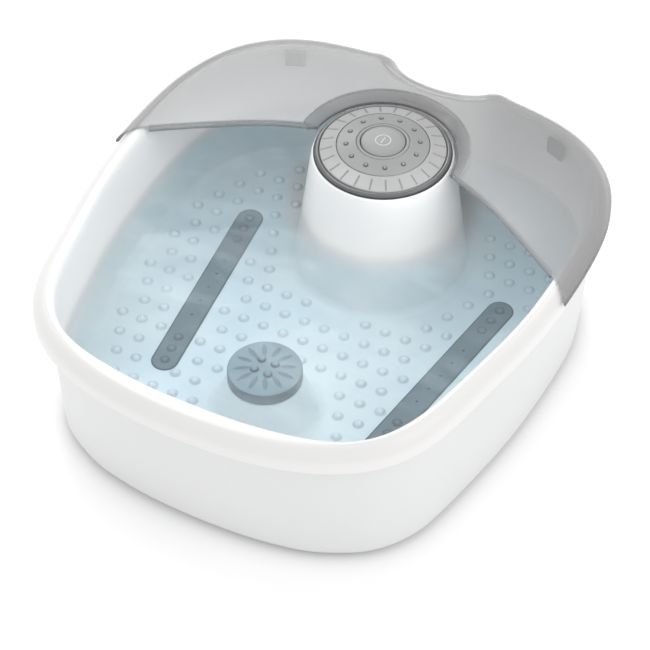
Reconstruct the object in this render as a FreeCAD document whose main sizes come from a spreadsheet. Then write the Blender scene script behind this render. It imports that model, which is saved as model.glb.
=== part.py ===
import FreeCAD, Part
import math
import os
from FreeCAD import Vector as V

# Pedicure foot bath: moulded basin in a drafted casing, a control tower with a
# selector dial and push button, a lift-off splash guard, two air strips and a
# lift-off massage disc.  Millimetres, +Z up, +Y to the rear (tower side).
# Origin: centre of the bounding box, in the plane the feet stand on.

os.makedirs("parts", exist_ok=True)
doc = FreeCAD.newDocument("FootBath")

# ---------------------------------------------------------------- spreadsheet
sheet = doc.addObject("Spreadsheet::Sheet", "dims")
TABLE = [
    ("overall_length", 429.6), ("overall_width", 386.4),
    ("tower_y", 107.2), ("hub_centre_y", 12.2),
    ("foot_height", 3.0), ("foot_radius", 9.0), ("foot_stem_radius", 3.0),
    ("casing_thickness", 2.5), ("casing_top", 119.0),
    ("basin_thickness", 2.8), ("floor_top", 21.5), ("rim_crest", 134.0),
    ("lip_bottom", 114.0), ("lip_overhang", 6.5),
    ("tower_top", 131.0), ("tower_top_radius", 55.5), ("tower_slope", 0.125),
    ("web_top", 118.0), ("web_half_width", 26.0), ("tower_flare", 6.5),
    ("pedestal_y", -83.2), ("pedestal_base_radius", 39.0),
    ("pedestal_top_radius", 29.0), ("pedestal_top", 54.4),
    ("nub_pitch_x", 17.5), ("nub_pitch_y", 19.1), ("nub_radius", 3.0), ("nub_height", 2.8),
    ("strip_half_width", 9.75), ("strip_thickness", 2.5), ("strip_seat", 20.0),
    ("strip_rear_x", 112.4), ("strip_rear_y", 93.0),
    ("strip_front_x", 92.6), ("strip_front_y", -76.5),
    ("strip_length", 170.65), ("strip_hole_radius", 0.8), ("strip_ball_radius", 2.6),
    ("strip_gap", 0.45), ("seal_thickness", 0.5),
    ("dial_radius", 49.2), ("dial_base", 132.0), ("dial_shoulder", 134.4),
    ("dial_step_radius", 37.0), ("dial_step_height", 139.0),
    ("dial_inner_radius", 19.0), ("dial_inner_height", 142.3),
    ("hub_bore", 17.9), ("hub_radius", 21.0), ("hub_bottom", 118.0),
    ("bushing_bore", 21.06), ("bushing_radius", 26.0),
    ("bezel_inner", 49.5), ("bezel_outer", 52.85), ("bezel_height", 3.2),
    ("button_radius", 17.3), ("button_top", 143.0), ("button_travel", 2.0),
    ("stem_radius", 2.0), ("stem_bottom", 119.9),
    ("carrier_radius", 44.0), ("carrier_bottom", 112.0), ("carrier_thickness", 3.0),
    ("board_bottom", 95.0), ("board_thickness", 1.6), ("board_length", 64.0), ("board_width", 48.0),
    ("pump_radius", 42.0), ("pump_base", 5.5), ("pump_height", 18.5), ("pump_wall", 2.0),
    ("pump_cover_thickness", 2.5), ("fan_radius", 36.0), ("fan_base", 9.0),
    ("pump_motor_radius", 14.0), ("pump_motor_length", 28.0), ("pump_shaft_radius", 1.5),
    ("duct_axis_height", 13.5), ("hose_radius", 4.0), ("hose_bore", 3.0), ("nipple_radius", 2.95),
    ("vib_motor_radius", 11.0), ("vib_motor_length", 28.0), ("vib_axis_height", 32.0),
    ("vib_shaft_radius", 1.2), ("weight_radius", 8.5), ("weight_thickness", 7.0),
    ("heater_length", 124.0), ("heater_width", 62.0), ("heater_thickness", 1.6),
    ("thermostat_radius", 8.0), ("thermostat_height", 7.0),
    ("disc_radius", 28.46), ("disc_base", 54.7), ("disc_edge", 65.0), ("disc_crown", 66.6),
    ("disc_spigot", 10.0), ("disc_socket", 10.35), ("spigot_height", 6.0),
    ("guard_thickness", 2.3), ("guard_top", 137.2), ("guard_skirt", 124.0),
    ("collar_radius", 57.7), ("collar_outer", 67.0), ("flange_depth", 7.0),
    ("screw_radius", 1.5), ("screw_head", 3.2), ("post_radius", 4.5),
    ("gland_x", 8.0), ("gland_z", 30.0), ("gland_radius", 6.0), ("gland_bore", 3.6),
]
for i, (alias, value) in enumerate(TABLE):
    row = i + 1
    sheet.set("A%d" % row, alias)
    sheet.set("B%d" % row, "%g" % value)
    sheet.setAlias("B%d" % row, alias)
doc.recompute()


def S(alias):
    return float(getattr(sheet, alias))


def val(c):
    """A coordinate is a number, or (alias, offset), or (alias, offset, factor)."""
    if isinstance(c, tuple):
        f = c[2] if len(c) > 2 else 1.0
        return S(c[0]) * f + c[1]
    return float(c)


def expr(c):
    if isinstance(c, tuple):
        f = c[2] if len(c) > 2 else 1.0
        return "dims.%s * %g + %g" % (c[0], f, c[1])
    return None


def bind(obj, prop, c):
    if isinstance(c, tuple):
        obj.setExpression(prop, expr(c))
    else:
        setattr(obj, prop, c)


NODES = {}


def node(obj, label):
    obj.Label = label
    NODES[label] = obj
    return obj


# ------------------------------------------------------ PartDesign shorthands
def new_body(label):
    b = doc.addObject("PartDesign::Body", "body_" + label)
    node(b, label)
    return b


def plane(body, role):
    for f in body.Origin.OriginFeatures:
        if f.Role == role:
            return f
    raise RuntimeError("no origin feature " + role)


def sketch(body, name, role="XY_Plane", lift=None):
    sk = body.newObject("Sketcher::SketchObject", name)
    sk.AttachmentSupport = (plane(body, role), [""])
    sk.MapMode = "FlatFace"
    if lift is not None:
        sk.AttachmentOffset = FreeCAD.Placement(V(0, 0, val(lift)), FreeCAD.Rotation())
        if isinstance(lift, tuple):
            sk.setExpression("AttachmentOffset.Base.z", expr(lift))
    return sk


def polygon(sk, pts):
    """Closed polygon, every corner placed from the origin by the spreadsheet."""
    from Sketcher import Constraint
    n = len(pts)
    base = len(sk.Geometry)
    xy = [(val(a), val(b)) for a, b in pts]
    for i in range(n):
        a, b = xy[i], xy[(i + 1) % n]
        sk.addGeometry(Part.LineSegment(V(a[0], a[1], 0), V(b[0], b[1], 0)), False)
    for i in range(n):
        sk.addConstraint(Constraint("Coincident", base + i, 2, base + (i + 1) % n, 1))
    for i, (a, b) in enumerate(pts):
        g = base + i
        if not isinstance(a, tuple) and abs(a) < 1e-9:
            sk.addConstraint(Constraint("PointOnObject", g, 1, -2))
        else:
            c = sk.addConstraint(Constraint("DistanceX", -1, 1, g, 1, val(a)))
            if isinstance(a, tuple):
                sk.setExpression("Constraints[%d]" % c, expr(a))
        if not isinstance(b, tuple) and abs(b) < 1e-9:
            sk.addConstraint(Constraint("PointOnObject", g, 1, -1))
        else:
            c = sk.addConstraint(Constraint("DistanceY", -1, 1, g, 1, val(b)))
            if isinstance(b, tuple):
                sk.setExpression("Constraints[%d]" % c, expr(b))


def circle(sk, cx, cy, r):
    from Sketcher import Constraint
    g = sk.addGeometry(Part.Circle(V(val(cx), val(cy), 0), V(0, 0, 1), val(r)), False)
    c = sk.addConstraint(Constraint("Radius", g, val(r)))
    if isinstance(r, tuple):
        sk.setExpression("Constraints[%d]" % c, expr(r))
    for kind, q in (("DistanceX", cx), ("DistanceY", cy)):
        if not isinstance(q, tuple) and abs(q) < 1e-9:
            continue
        c = sk.addConstraint(Constraint(kind, -1, 1, g, 3, val(q)))
        if isinstance(q, tuple):
            sk.setExpression("Constraints[%d]" % c, expr(q))
    zx = not isinstance(cx, tuple) and abs(cx) < 1e-9
    zy = not isinstance(cy, tuple) and abs(cy) < 1e-9
    if zx and zy:
        sk.addConstraint(Constraint("Coincident", g, 3, -1, 1))
    elif zx:
        sk.addConstraint(Constraint("PointOnObject", g, 3, -2))
    elif zy:
        sk.addConstraint(Constraint("PointOnObject", g, 3, -1))


def revolve(body, name, pts):
    sk = sketch(body, name + "_profile", "XZ_Plane")
    polygon(sk, pts)
    r = body.newObject("PartDesign::Revolution", name)
    r.Profile = sk
    r.ReferenceAxis = (sk, ["V_Axis"])
    r.Angle = 360.0
    sk.Visibility = False
    return r


def pad(body, name, sk, length):
    p = body.newObject("PartDesign::Pad", name)
    p.Profile = sk
    bind(p, "Length", length)
    return p


def polar(body, name, feature, count):
    p = body.newObject("PartDesign::PolarPattern", name)
    p.Originals = [feature]
    p.Axis = (plane(body, "Z_Axis"), [""])
    p.Angle = 360.0
    p.Occurrences = count
    body.Tip = p
    return p


def place(obj, x=0, y=0, z=0, axis=None, angle=0.0, y_alias=None):
    rot = FreeCAD.Rotation(axis, angle) if axis is not None else FreeCAD.Rotation()
    obj.Placement = FreeCAD.Placement(V(val(x), val(y), val(z)), rot)
    for prop, c in (("x", x), ("y", y), ("z", z)):
        if isinstance(c, tuple):
            obj.setExpression("Placement.Base.%s" % prop, expr(c))


# ------------------------------------------------------ primitives shorthands
COUNT = [0]


def uid(prefix):
    COUNT[0] += 1
    return "%s_%d" % (prefix, COUNT[0])


def cyl(r, height, x, y, z, axis=None, angle=0.0):
    o = doc.addObject("Part::Cylinder", uid("cyl"))
    bind(o, "Radius", r)
    bind(o, "Height", height)
    place(o, x, y, z, axis, angle)
    return o


def block(lx, ly, lz, x, y, z):
    o = doc.addObject("Part::Box", uid("box"))
    bind(o, "Length", lx)
    bind(o, "Width", ly)
    bind(o, "Height", lz)
    place(o, x, y, z)
    return o


def fuse(parts, label=None):
    o = doc.addObject("Part::MultiFuse", uid("fuse"))
    o.Shapes = parts
    if label:
        node(o, label)
    return o


def cut(base, tool, label=None):
    o = doc.addObject("Part::Cut", uid("cut"))
    o.Base = base
    o.Tool = tool
    if label:
        node(o, label)
    return o


def group(parts, label):
    o = doc.addObject("Part::Compound", uid("group"))
    o.Links = parts
    return node(o, label)


def feature(label, shape):
    o = doc.addObject("Part::Feature", "shape_" + label)
    o.Shape = shape
    return node(o, label)


# ------------------------------------------------- outlines, as polar tables
# Radius from the hub centre at each bearing, from the front (-90) to the rear
# (90) of the right half; the left half is its mirror image.
BEARING = [-90, -85, -80, -75, -70, -65, -60, -55, -50, -45, -40, -35, -30, -25, -20, -15, -10,
           -5, 0, 5, 10, 15, 20, 25, 30, 35, 40, 45, 50, 55, 60, 65, 70, 73, 75.5, 77, 78.3,
           79.6, 81.5, 84, 87, 90]
RIM = [226.6, 226.9, 228.0, 229.6, 231.4, 233.0, 233.8, 233.2, 230.4, 224.9, 217.3, 209.0, 201.7,
       196.1, 192.5, 190.3, 188.9, 188.6, 189.1, 190.5, 192.7, 196.1, 200.6, 205.9, 211.4,
       216.3, 220.8, 223.1, 223.4, 221.8, 218.3, 213.5, 208.8, 206.9, 205.9, 204.1, 197.8,
       192.8, 188.2, 184.7, 182.4, 181.7]
GUARD = [228.8, 229.1, 230.2, 231.8, 233.6, 235.2, 236.0, 235.4, 232.6, 227.1, 219.5, 211.2, 203.9,
       198.4, 195.0, 192.8, 191.5, 191.5, 192.1, 193.5, 195.8, 199.2, 203.7, 209.0, 214.5,
       219.4, 223.9, 226.2, 226.5, 224.9, 221.4, 216.6, 211.9, 210.0, 209.0, 207.2, 200.9,
       195.9, 191.3, 187.8, 185.5, 184.8]
BASE = [203.8, 204.2, 205.6, 207.6, 210.1, 212.7, 213.9, 214.7, 213.0, 208.5, 201.9, 193.9, 187.2,
       181.8, 177.9, 175.3, 173.7, 173.0, 173.2, 174.4, 176.7, 180.2, 184.9, 190.4, 195.9,
       200.8, 205.3, 207.6, 207.9, 206.3, 202.8, 198.0, 193.2, 191.1, 189.5, 188.4, 187.5,
       186.6, 185.4, 184.1, 183.1, 182.6]
MOUTH = [203.7, 204.4, 205.9, 208.1, 211.0, 214.2, 216.8, 216.8, 213.1, 206.4, 198.5, 190.9, 184.6,
       179.9, 176.6, 174.6, 173.4, 173.0, 173.4, 174.6, 176.7, 180.1, 184.6, 189.9, 195.4,
       200.3, 204.8, 207.1, 207.4, 205.8, 202.3, 197.5, 192.8, 190.4, 187.9, 185.3, 182.2,
       178.5, 174.9, 171.8, 169.9, 169.4]
FLOOR = [191.8, 192.2, 194.3, 197.2, 200.5, 203.7, 205.4, 206.5, 205.2, 200.5, 193.7, 185.9, 179.6,
       175.2, 171.3, 168.7, 167.1, 166.4, 166.6, 167.8, 170.1, 173.6, 178.3, 183.8, 189.3,
       194.2, 198.7, 201.0, 201.3, 199.7, 196.2, 191.4, 186.6, 184.5, 182.9, 181.8, 180.9,
       180.0, 178.8, 177.5, 176.5, 176.0]
HCY = S("hub_centre_y")
KX = S("overall_width") / 386.4
KY = S("overall_length") / 429.6


def outline(table):
    right = []
    for a, r in zip(BEARING, table):
        t = math.radians(a)
        right.append((r * math.cos(t) * KX, r * math.sin(t) * KY + HCY))
    left = [(-x, y) for x, y in right[1:-1]][::-1]
    return right + left


def seg_gap(px, py, ax, ay, bx, by):
    dx, dy = bx - ax, by - ay
    t = max(0.0, min(1.0, ((px - ax) * dx + (py - ay) * dy) / (dx * dx + dy * dy)))
    return math.hypot(px - ax - t * dx, py - ay - t * dy)


def inset(pts, d):
    """Parallel outline, d inward (outward when negative), kept on the same bearings."""
    if abs(d) < 1e-9:
        return list(pts)
    n = len(pts)
    out = []
    for i in range(n):
        x, y = pts[i][0], pts[i][1] - HCY
        r0 = math.hypot(x, y)
        ux, uy = x / r0, y / r0
        span = [(pts[(i + k) % n], pts[(i + k + 1) % n]) for k in range(-14, 14)]
        a, b = 0.0, 2.6 * abs(d) + 1.0
        for _ in range(22):
            m = 0.5 * (a + b)
            r = r0 - m if d > 0 else r0 + m
            qx, qy = r * ux, r * uy + HCY
            gap = min(seg_gap(qx, qy, p[0], p[1], q[0], q[1]) for p, q in span)
            if gap < abs(d):
                a = m
            else:
                b = m
        r = r0 - b if d > 0 else r0 + b
        out.append((r * ux, r * uy + HCY))
    return out


def between(p, q, u):
    return [(a[0] + (b[0] - a[0]) * u, a[1] + (b[1] - a[1]) * u) for a, b in zip(p, q)]


def wire(pts, z):
    c = Part.BSplineCurve()
    c.interpolate([V(x, y, z) for x, y in pts], PeriodicFlag=True)
    return Part.Wire([c.toShape()])


def loft(levels):
    w = [wire(p, z) for p, z in levels]
    return Part.makeLoft(w, True, True)


def prism(pts, z0, z1):
    return Part.Face(wire(pts, z0)).extrude(V(0, 0, z1 - z0))


def capsule(x0, y0, x1, y1, r, z0, z1):
    dx, dy = x1 - x0, y1 - y0
    m = math.hypot(dx, dy)
    nx, ny = -dy / m * r, dx / m * r
    ex, ey = dx / m * r, dy / m * r
    a = [V(x0 + nx, y0 + ny, z0), V(x1 + nx, y1 + ny, z0)]
    b = [V(x1 - nx, y1 - ny, z0), V(x0 - nx, y0 - ny, z0)]
    edges = [Part.LineSegment(a[0], a[1]).toShape(),
             Part.Arc(a[1], V(x1 + ex, y1 + ey, z0), b[0]).toShape(),
             Part.LineSegment(b[0], b[1]).toShape(),
             Part.Arc(b[1], V(x0 - ex, y0 - ey, z0), a[0]).toShape()]
    return Part.Face(Part.Wire(edges)).extrude(V(0, 0, z1 - z0))


rim, guard_out, base, mouth, floor = (outline(t) for t in (RIM, GUARD, BASE, MOUTH, FLOOR))
TW = S("basin_thickness")
ZF, ZC, ZL = S("floor_top"), S("rim_crest"), S("lip_bottom")
TY = S("tower_y")
PY = S("pedestal_y")

# -------------------------------------------------------------- basin shell
# Rim roll: the outer lip, a rounded crest and the inner shoulder.
outer_levels = [(rim, ZL), (rim, ZC - 11.5), (inset(rim, 0.6), ZC - 9.0), (inset(rim, 2.2), ZC - 6.1),
                (inset(rim, 4.6), ZC - 3.4), (inset(rim, 7.2), ZC - 1.2), (inset(rim, 9.8), ZC)]
cap = loft(outer_levels)
under = loft([(inset(rim, TW), ZL - 2.0), (inset(rim, TW), ZC - 12.0),
              (inset(rim, TW + 1.6), ZC - 8.4), (inset(rim, TW + 4.6), ZC - 5.2),
              (inset(rim, TW + 7.4), ZC - 3.4)])
cap = cap.cut(under)


def wall_at(z):
    """Inner wall outline at height z, drafted from the mouth to the floor."""
    zt, zb = ZC - 8.5, ZF + 10.0
    u = (zt - z) / (zt - zb)
    return between(mouth, inset(floor, -2.5), u)


cav_levels = [(inset(floor, 4.5), ZF), (inset(floor, 1.4), ZF + 1.3),
              (inset(floor, -0.9), ZF + 4.2), (wall_at(ZF + 10.0), ZF + 10.0),
              (mouth, ZC - 8.5), (inset(mouth, -0.6), ZC - 5.0), (inset(mouth, -1.8), ZC - 2.4),
              (inset(mouth, -3.4), ZC - 0.8), (inset(mouth, -5.0), ZC + 0.2)]
cavity = loft(cav_levels)
cup = loft([(inset(floor, 2.0), ZF - TW), (inset(floor, -1.4), ZF - 0.6),
            (inset(floor, -3.4), ZF + 3.4), (inset(wall_at(ZF + 10.0), -TW), ZF + 10.0),
            (inset(mouth, -TW), ZC - 8.5), (inset(mouth, -TW - 0.9), ZC - 5.0),
            (inset(mouth, -TW - 2.2), ZC - 2.0)])
shell = cap.fuse(cup).cut(cavity)
print("shell", round(shell.Volume), len(shell.Solids))

# Control tower: a cone with a flared foot, and a narrow web back to the rear wall.
r_top, slope, z_top = S("tower_top_radius"), S("tower_slope"), S("tower_top")


def tower_r(z):
    return r_top + slope * (z_top - z)


flare = S("tower_flare")
prof = [(0, ZF - TW), (tower_r(ZF) + flare, ZF - TW), (tower_r(ZF) + flare, ZF)]
for k in range(1, 6):
    a = math.radians(18 * k)
    prof.append((tower_r(ZF) + flare * (1 - math.sin(a)), ZF + flare * (1 - math.cos(a))))
prof += [(tower_r(z_top - 3) , z_top - 3), (r_top - 0.8, z_top - 0.8), (r_top - 2.6, z_top), (0, z_top)]


def lathe(profile, cx, cy):
    e = [Part.LineSegment(V(profile[i][0], 0, profile[i][1]),
                          V(profile[(i + 1) % len(profile)][0], 0, profile[(i + 1) % len(profile)][1])).toShape()
         for i in range(len(profile))]
    s = Part.Face(Part.Wire(e)).revolve(V(0, 0, 0), V(0, 0, 1), 360)
    s.translate(V(cx, cy, 0))
    return s


def slab(y0, y1, half_low, half_high, z0, z1):
    def rect(hw, z):
        p = [V(-hw, y0, z), V(hw, y0, z), V(hw, y1, z), V(-hw, y1, z)]
        return Part.makePolygon(p + [p[0]])
    return Part.makeLoft([rect(half_low, z0), rect(half_high, z1)], True, True)


deck, ww = S("web_top"), S("web_half_width")
tower = lathe(prof, 0, TY).fuse(slab(TY, TY + 100, ww, ww - 1.5, ZF - TW, deck))
tower = tower.common(cavity.fuse(Part.makeCylinder(60, 6, V(0, TY, ZF - TW))))
hollow = lathe([(0, 4), (tower_r(4) - TW, 4), (tower_r(126.0) - TW, 126.2), (0, 126.2)], 0, TY)
ceiling = z_top - TW
hollow = hollow.fuse(Part.makeCylinder(r_top - TW - 2, ceiling - 100, V(0, TY, 100)))
hollow = hollow.fuse(slab(TY, TY + 72.5, ww - TW, ww - 1.5 - TW, 4, deck - TW))
hollow = hollow.common(prism(inset(base, 14.0), 0, ZC))
hollow = hollow.fuse(slab(TY + 20, TY + 110, ww - TW, ww - 1.2 - TW, 4, 98))
print("tower", round(tower.Volume), "hollow", round(hollow.Volume))
shell = shell.fuse(tower)
print("with tower", round(shell.Volume), len(shell.Solids))
shell = shell.cut(hollow)
print("hollowed", round(shell.Volume), len(shell.Solids))

# Pedestal for the massage disc, with its spigot; hollow from below.
rb, rt, zp = S("pedestal_base_radius"), S("pedestal_top_radius"), S("pedestal_top")
ped = lathe([(0, ZF - TW), (rb + 6, ZF - TW), (rb + 6, ZF), (rb + 2.2, ZF + 0.9), (rb - 0.4, ZF + 3.8),
             (rt + 0.6, zp - 1.2), (rt - 1.2, zp), (S("disc_spigot"), zp),
             (S("disc_spigot"), zp + S("spigot_height") - 0.8),
             (S("disc_spigot") - 0.8, zp + S("spigot_height")), (0, zp + S("spigot_height"))], 0, PY)
ped_in = lathe([(0, 4), (rb - TW, 4), (rb - TW, ZF), (rt - TW, zp - TW), (0, zp - TW)], 0, PY)
shell = shell.fuse(ped).cut(ped_in)

# Air channels under the floor, the strip recesses and the hose nipples.
sx0, sy0, sx1, sy1 = S("strip_rear_x"), S("strip_rear_y"), S("strip_front_x"), S("strip_front_y")
zs = S("strip_seat") - S("seal_thickness")
zd = S("duct_axis_height")
hose_y = TY - 67.0
for side in (1, -1):
    shell = shell.fuse(capsule(side * sx0, sy0, side * sx1, sy1, 12.6, 8.5, ZF - 1.0))
for side in (1, -1):
    xs = sx0 + (sx1 - sx0) * (sy0 - hose_y) / (sy0 - sy1)
    stub = Part.makeCylinder(S("nipple_radius"), 20, V(side * (xs - 20), hose_y, zd), V(side, 0, 0))
    shell = shell.fuse(stub)
for side in (1, -1):
    xs = sx0 + (sx1 - sx0) * (sy0 - hose_y) / (sy0 - sy1)
    shell = shell.cut(capsule(side * sx0, sy0, side * sx1, sy1,
                              S("strip_half_width") + S("strip_gap"), zs, ZF + 2))
    shell = shell.cut(capsule(side * sx0, sy0, side * sx1, sy1, 7.2, 10.5, zs + 1))
    shell = shell.cut(Part.makeCylinder(2.0, 22, V(side * (xs - 22), hose_y, zd), V(side, 0, 0)))

# Screw posts under the floor and bosses under the tower's top.
POSTS = [(138.0, -100.0), (146.0, 30.0), (96.0, 152.0), (52.0, -158.0)]
tools, drills = [], []
for px, py in POSTS:
    for side in (1, -1):
        tools.append(Part.makeCylinder(S("post_radius"), ZF - 1.0 - 5.5, V(side * px, py, 5.5)))
        drills.append(Part.makeCylinder(S("screw_radius"), 10.5, V(side * px, py, 5.0)))
BOSSES = [(37.0 * math.cos(math.radians(a)), TY + 37.0 * math.sin(math.radians(a))) for a in (90, 210, 330)]
for bx, by in BOSSES:
    tools.append(Part.makeCylinder(4.0, z_top - 1.0 - 115.0, V(bx, by, 115.0)))
    drills.append(Part.makeCylinder(S("screw_radius"), 9.0, V(bx, by, 114.5)))
shell = shell.multiFuse(tools)
drills.append(Part.makeCylinder(S("bushing_radius"), 20, V(0, TY, z_top - 10)))
for py in (-13.5, 13.5):
    drills.append(Part.makeCylinder(1.2, 1.6, V(-6, PY + py, zp - TW - 0.1)))
shell = shell.cut(Part.makeCompound(drills))


# Massage nubs: a staggered grid on the free floor.
def inside(pts, x, y):
    c = False
    for i in range(len(pts)):
        (x0, y0), (x1, y1) = pts[i - 1], pts[i]
        if (y0 > y) != (y1 > y) and x < (x1 - x0) * (y - y0) / (y1 - y0) + x0:
            c = not c
    return c


field = inset(floor, 7.5)
nubs = []
for j in range(-12, 9):
    y = TY - 58.0 + S("nub_pitch_y") * j
    off = 0.0 if j % 2 == 0 else 0.5
    for k in range(-10, 11):
        x = S("nub_pitch_x") * (k + off)
        if not inside(field, x, y):
            continue
        if math.hypot(x, y - TY) < tower_r(ZF) + flare + 3.5 or (abs(x) < ww + 5 and y > TY):
            continue
        if math.hypot(x, y - PY) < rb + 9:
            continue
        if min(seg_gap(x, y, side * sx0, sy0, side * sx1, sy1) for side in (1, -1)) < 15.5:
            continue
        nubs.append(Part.makeCone(S("nub_radius"), S("nub_radius") * 0.55, S("nub_height") + 0.6,
                                  V(x, y, ZF - 0.6)))
shell = shell.multiFuse(nubs)
print("nubs", len(nubs), "basin valid", shell.isValid(), "solids", len(shell.Solids))
for q in shell.Solids:
    print("   ", round(q.Volume, 1), q.BoundBox)
feature("basin", shell)

# --------------------------------------------------------------- outer casing
TC = S("casing_thickness")
zb, zt = S("foot_height"), S("casing_top")
# the wall draws in further under the lip at the two front corners
near, far = inset(rim, S("lip_overhang")), inset(rim, S("lip_overhang") + 3.6)
wall_top = []
for p, q in zip(near, far):
    a = math.degrees(math.atan2(p[1] - HCY, abs(p[0])))
    u = max(0.0, min(1.0, (-12.0 - a) / 30.0))
    u = u * u * (3 - 2 * u)
    wall_top.append((p[0] + (q[0] - p[0]) * u, p[1] + (q[1] - p[1]) * u))
cas_out = loft([(inset(base, 1.6), zb), (inset(base, 0.4), zb + 0.7), (between(base, wall_top, 0.02), zb + 3.2),
                (wall_top, zt)])
cas_in = loft([(inset(base, TC + 1.6), zb + TC), (inset(between(base, wall_top, 0.06), TC), zb + TC + 3.0),
               (inset(wall_top, TC), zt + 0.5)])
casing = cas_out.cut(cas_in)
gx, gz = S("gland_x"), S("gland_z")
pocket_y = HCY + 186.0
casing = casing.fuse(Part.makeCylinder(12.0, 8.0, V(gx, pocket_y - 8.0, gz), V(0, 1, 0)))
casing = casing.cut(Part.makeCylinder(S("gland_radius"), 60, V(gx, 150, gz), V(0, 1, 0)))
FEET = [(122.0, -130.0), (150.0, 8.0), (112.0, 150.0)]
holes = []
for fx, fy in FEET:
    for side in (1, -1):
        holes.append(Part.makeCylinder(S("foot_stem_radius") + 0.05, 6, V(side * fx, fy, 1.5)))
for px, py in POSTS:
    for side in (1, -1):
        holes.append(Part.makeCylinder(S("screw_radius") + 0.2, 6, V(side * px, py, 1.5)))
# intake slots for the air pump, under the tower
for k in range(-3, 4):
    holes.append(Part.makeBox(2.0, 20.0, 6.0, V(k * 6.0 - 1.0, TY + 48.0, 1.5)))
casing = casing.cut(Part.makeCompound(holes))
print("casing parts", cas_out.isValid(), cas_out.Volume, cas_in.isValid(), cas_in.Volume)
print("casing valid", casing.isValid(), "solids", len(casing.Solids))
feature("outer_casing", casing)

# ------------------------------------------------------------------ rubber feet
feet = []
for fx, fy in FEET:
    for side in (1, -1):
        feet.append(fuse([cyl(("foot_radius", 0), ("foot_height", 0), side * fx, fy, 0),
                          cyl(("foot_stem_radius", 0), 7.0, side * fx, fy, 0)]))
group(feet, "rubber_feet")

# ---------------------------------------------------------------- casing screws
screws = []
for px, py in POSTS:
    for side in (1, -1):
        screws.append(fuse([cyl(("screw_head", 0), 1.8, side * px, py, 1.2),
                            cyl(("screw_radius", 0), 11.5, side * px, py, 3.0)]))
group(screws, "casing_screws")

# ------------------------------------------------------------------ air strips
ang = math.degrees(math.atan2(sy1 - sy0, sx1 - sx0))


def strip(label, side):
    """Capsule bar with three nubs at each end and five air holes; local X runs front."""
    from Sketcher import Constraint
    b = new_body(label)
    sk = sketch(b, label + "_outline")
    L, r = S("strip_length"), S("strip_half_width")
    g = [sk.addGeometry(Part.LineSegment(V(0, r, 0), V(L, r, 0)), False),
         sk.addGeometry(Part.ArcOfCircle(Part.Circle(V(L, 0, 0), V(0, 0, 1), r), -math.pi / 2, math.pi / 2), False),
         sk.addGeometry(Part.LineSegment(V(L, -r, 0), V(0, -r, 0)), False),
         sk.addGeometry(Part.ArcOfCircle(Part.Circle(V(0, 0, 0), V(0, 0, 1), r), math.pi / 2, 3 * math.pi / 2), False)]
    sk.addConstraint(Constraint("Coincident", g[3], 3, -1, 1))
    sk.addConstraint(Constraint("PointOnObject", g[1], 3, -1))
    sk.addConstraint(Constraint("Tangent", g[0], 2, g[1], 2))
    sk.addConstraint(Constraint("Tangent", g[1], 1, g[2], 1))
    sk.addConstraint(Constraint("Tangent", g[2], 2, g[3], 2))
    sk.addConstraint(Constraint("Tangent", g[3], 1, g[0], 1))
    c = sk.addConstraint(Constraint("Radius", g[3], r))
    sk.setExpression("Constraints[%d]" % c, "dims.strip_half_width")
    c = sk.addConstraint(Constraint("DistanceX", g[3], 3, g[1], 3, L))
    sk.setExpression("Constraints[%d]" % c, "dims.strip_length")
    pad(b, label + "_bar", sk, ("strip_thickness", 0))
    hs = sketch(b, label + "_air_holes")
    for k in range(5):
        circle(hs, ("strip_length", (k - 2) * 16.3, 0.5), 0, ("strip_hole_radius", 0))
    doc.recompute()
    h = b.newObject("PartDesign::Pocket", label + "_holes")
    h.Profile = hs
    h.Type = 1
    h.Midplane = True
    for k, xx in enumerate((0.0, 13.0, 26.0, -26.0, -13.0, 0.0)):
        s = b.newObject("PartDesign::AdditiveSphere", uid("nub"))
        s.setExpression("Radius", "dims.strip_ball_radius")
        fx = xx if k < 3 else S("strip_length") + xx
        s.Placement = FreeCAD.Placement(V(fx, 0, S("strip_thickness") - 1.0), FreeCAD.Rotation())
        s.setExpression("Placement.Base.z", "dims.strip_thickness - 1")
        if k >= 3:
            s.setExpression("Placement.Base.x", "dims.strip_length + %g" % xx)
    a = ang if side > 0 else 180.0 - ang
    place(b, ("strip_rear_x", 0, side), ("strip_rear_y", 0), ("strip_seat", 0), V(0, 0, 1), a)
    return b


strip("massage_strip_right", 1)
strip("massage_strip_left", -1)
seals = []
for side in (1, -1):
    z0 = S("strip_seat") - S("seal_thickness")
    ring = capsule(side * sx0, sy0, side * sx1, sy1, 9.4, z0, S("strip_seat"))
    ring = ring.cut(capsule(side * sx0, sy0, side * sx1, sy1, 7.6, z0 - 1, z0 + 3))
    seals.append(ring)
feature("strip_seals", Part.makeCompound(seals))

# --------------------------------------------------------------- selector dial
b = new_body("selector_dial")
revolve(b, "dial_profile", [
    (("hub_bore", 0), ("hub_bottom", 0)), (("hub_radius", 0), ("hub_bottom", 0)),
    (("hub_radius", 0), ("dial_inner_height", -3.6)), (("dial_step_radius", 0), ("dial_step_height", -3.0)),
    (("dial_radius", -2.2), ("dial_shoulder", -1.2)), (("dial_radius", -2.2), ("dial_base", 0)),
    (("dial_radius", 0), ("dial_base", 0)), (("dial_radius", 0), ("dial_shoulder", 0)),
    (("dial_radius", -1.2), ("dial_shoulder", 0.9)), (("dial_step_radius", 0), ("dial_step_height", 0)),
    (("dial_step_radius", -0.8), ("dial_step_height", -1.4)), (("dial_inner_radius", 1.6), ("dial_inner_height", -1.6)),
    (("dial_inner_radius", 0), ("dial_inner_height", 0)), (("hub_bore", 0), ("dial_inner_height", 0))])
doc.recompute()
g = b.newObject("PartDesign::SubtractiveBox", "grip_groove")
g.Length, g.Width, g.Height = 9.5, 1.1, 3.0
sl = math.degrees(math.atan2(S("dial_step_height") - S("dial_shoulder") - 0.9,
                             S("dial_radius") - 1.2 - S("dial_step_radius")))
x0 = 39.2
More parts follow.
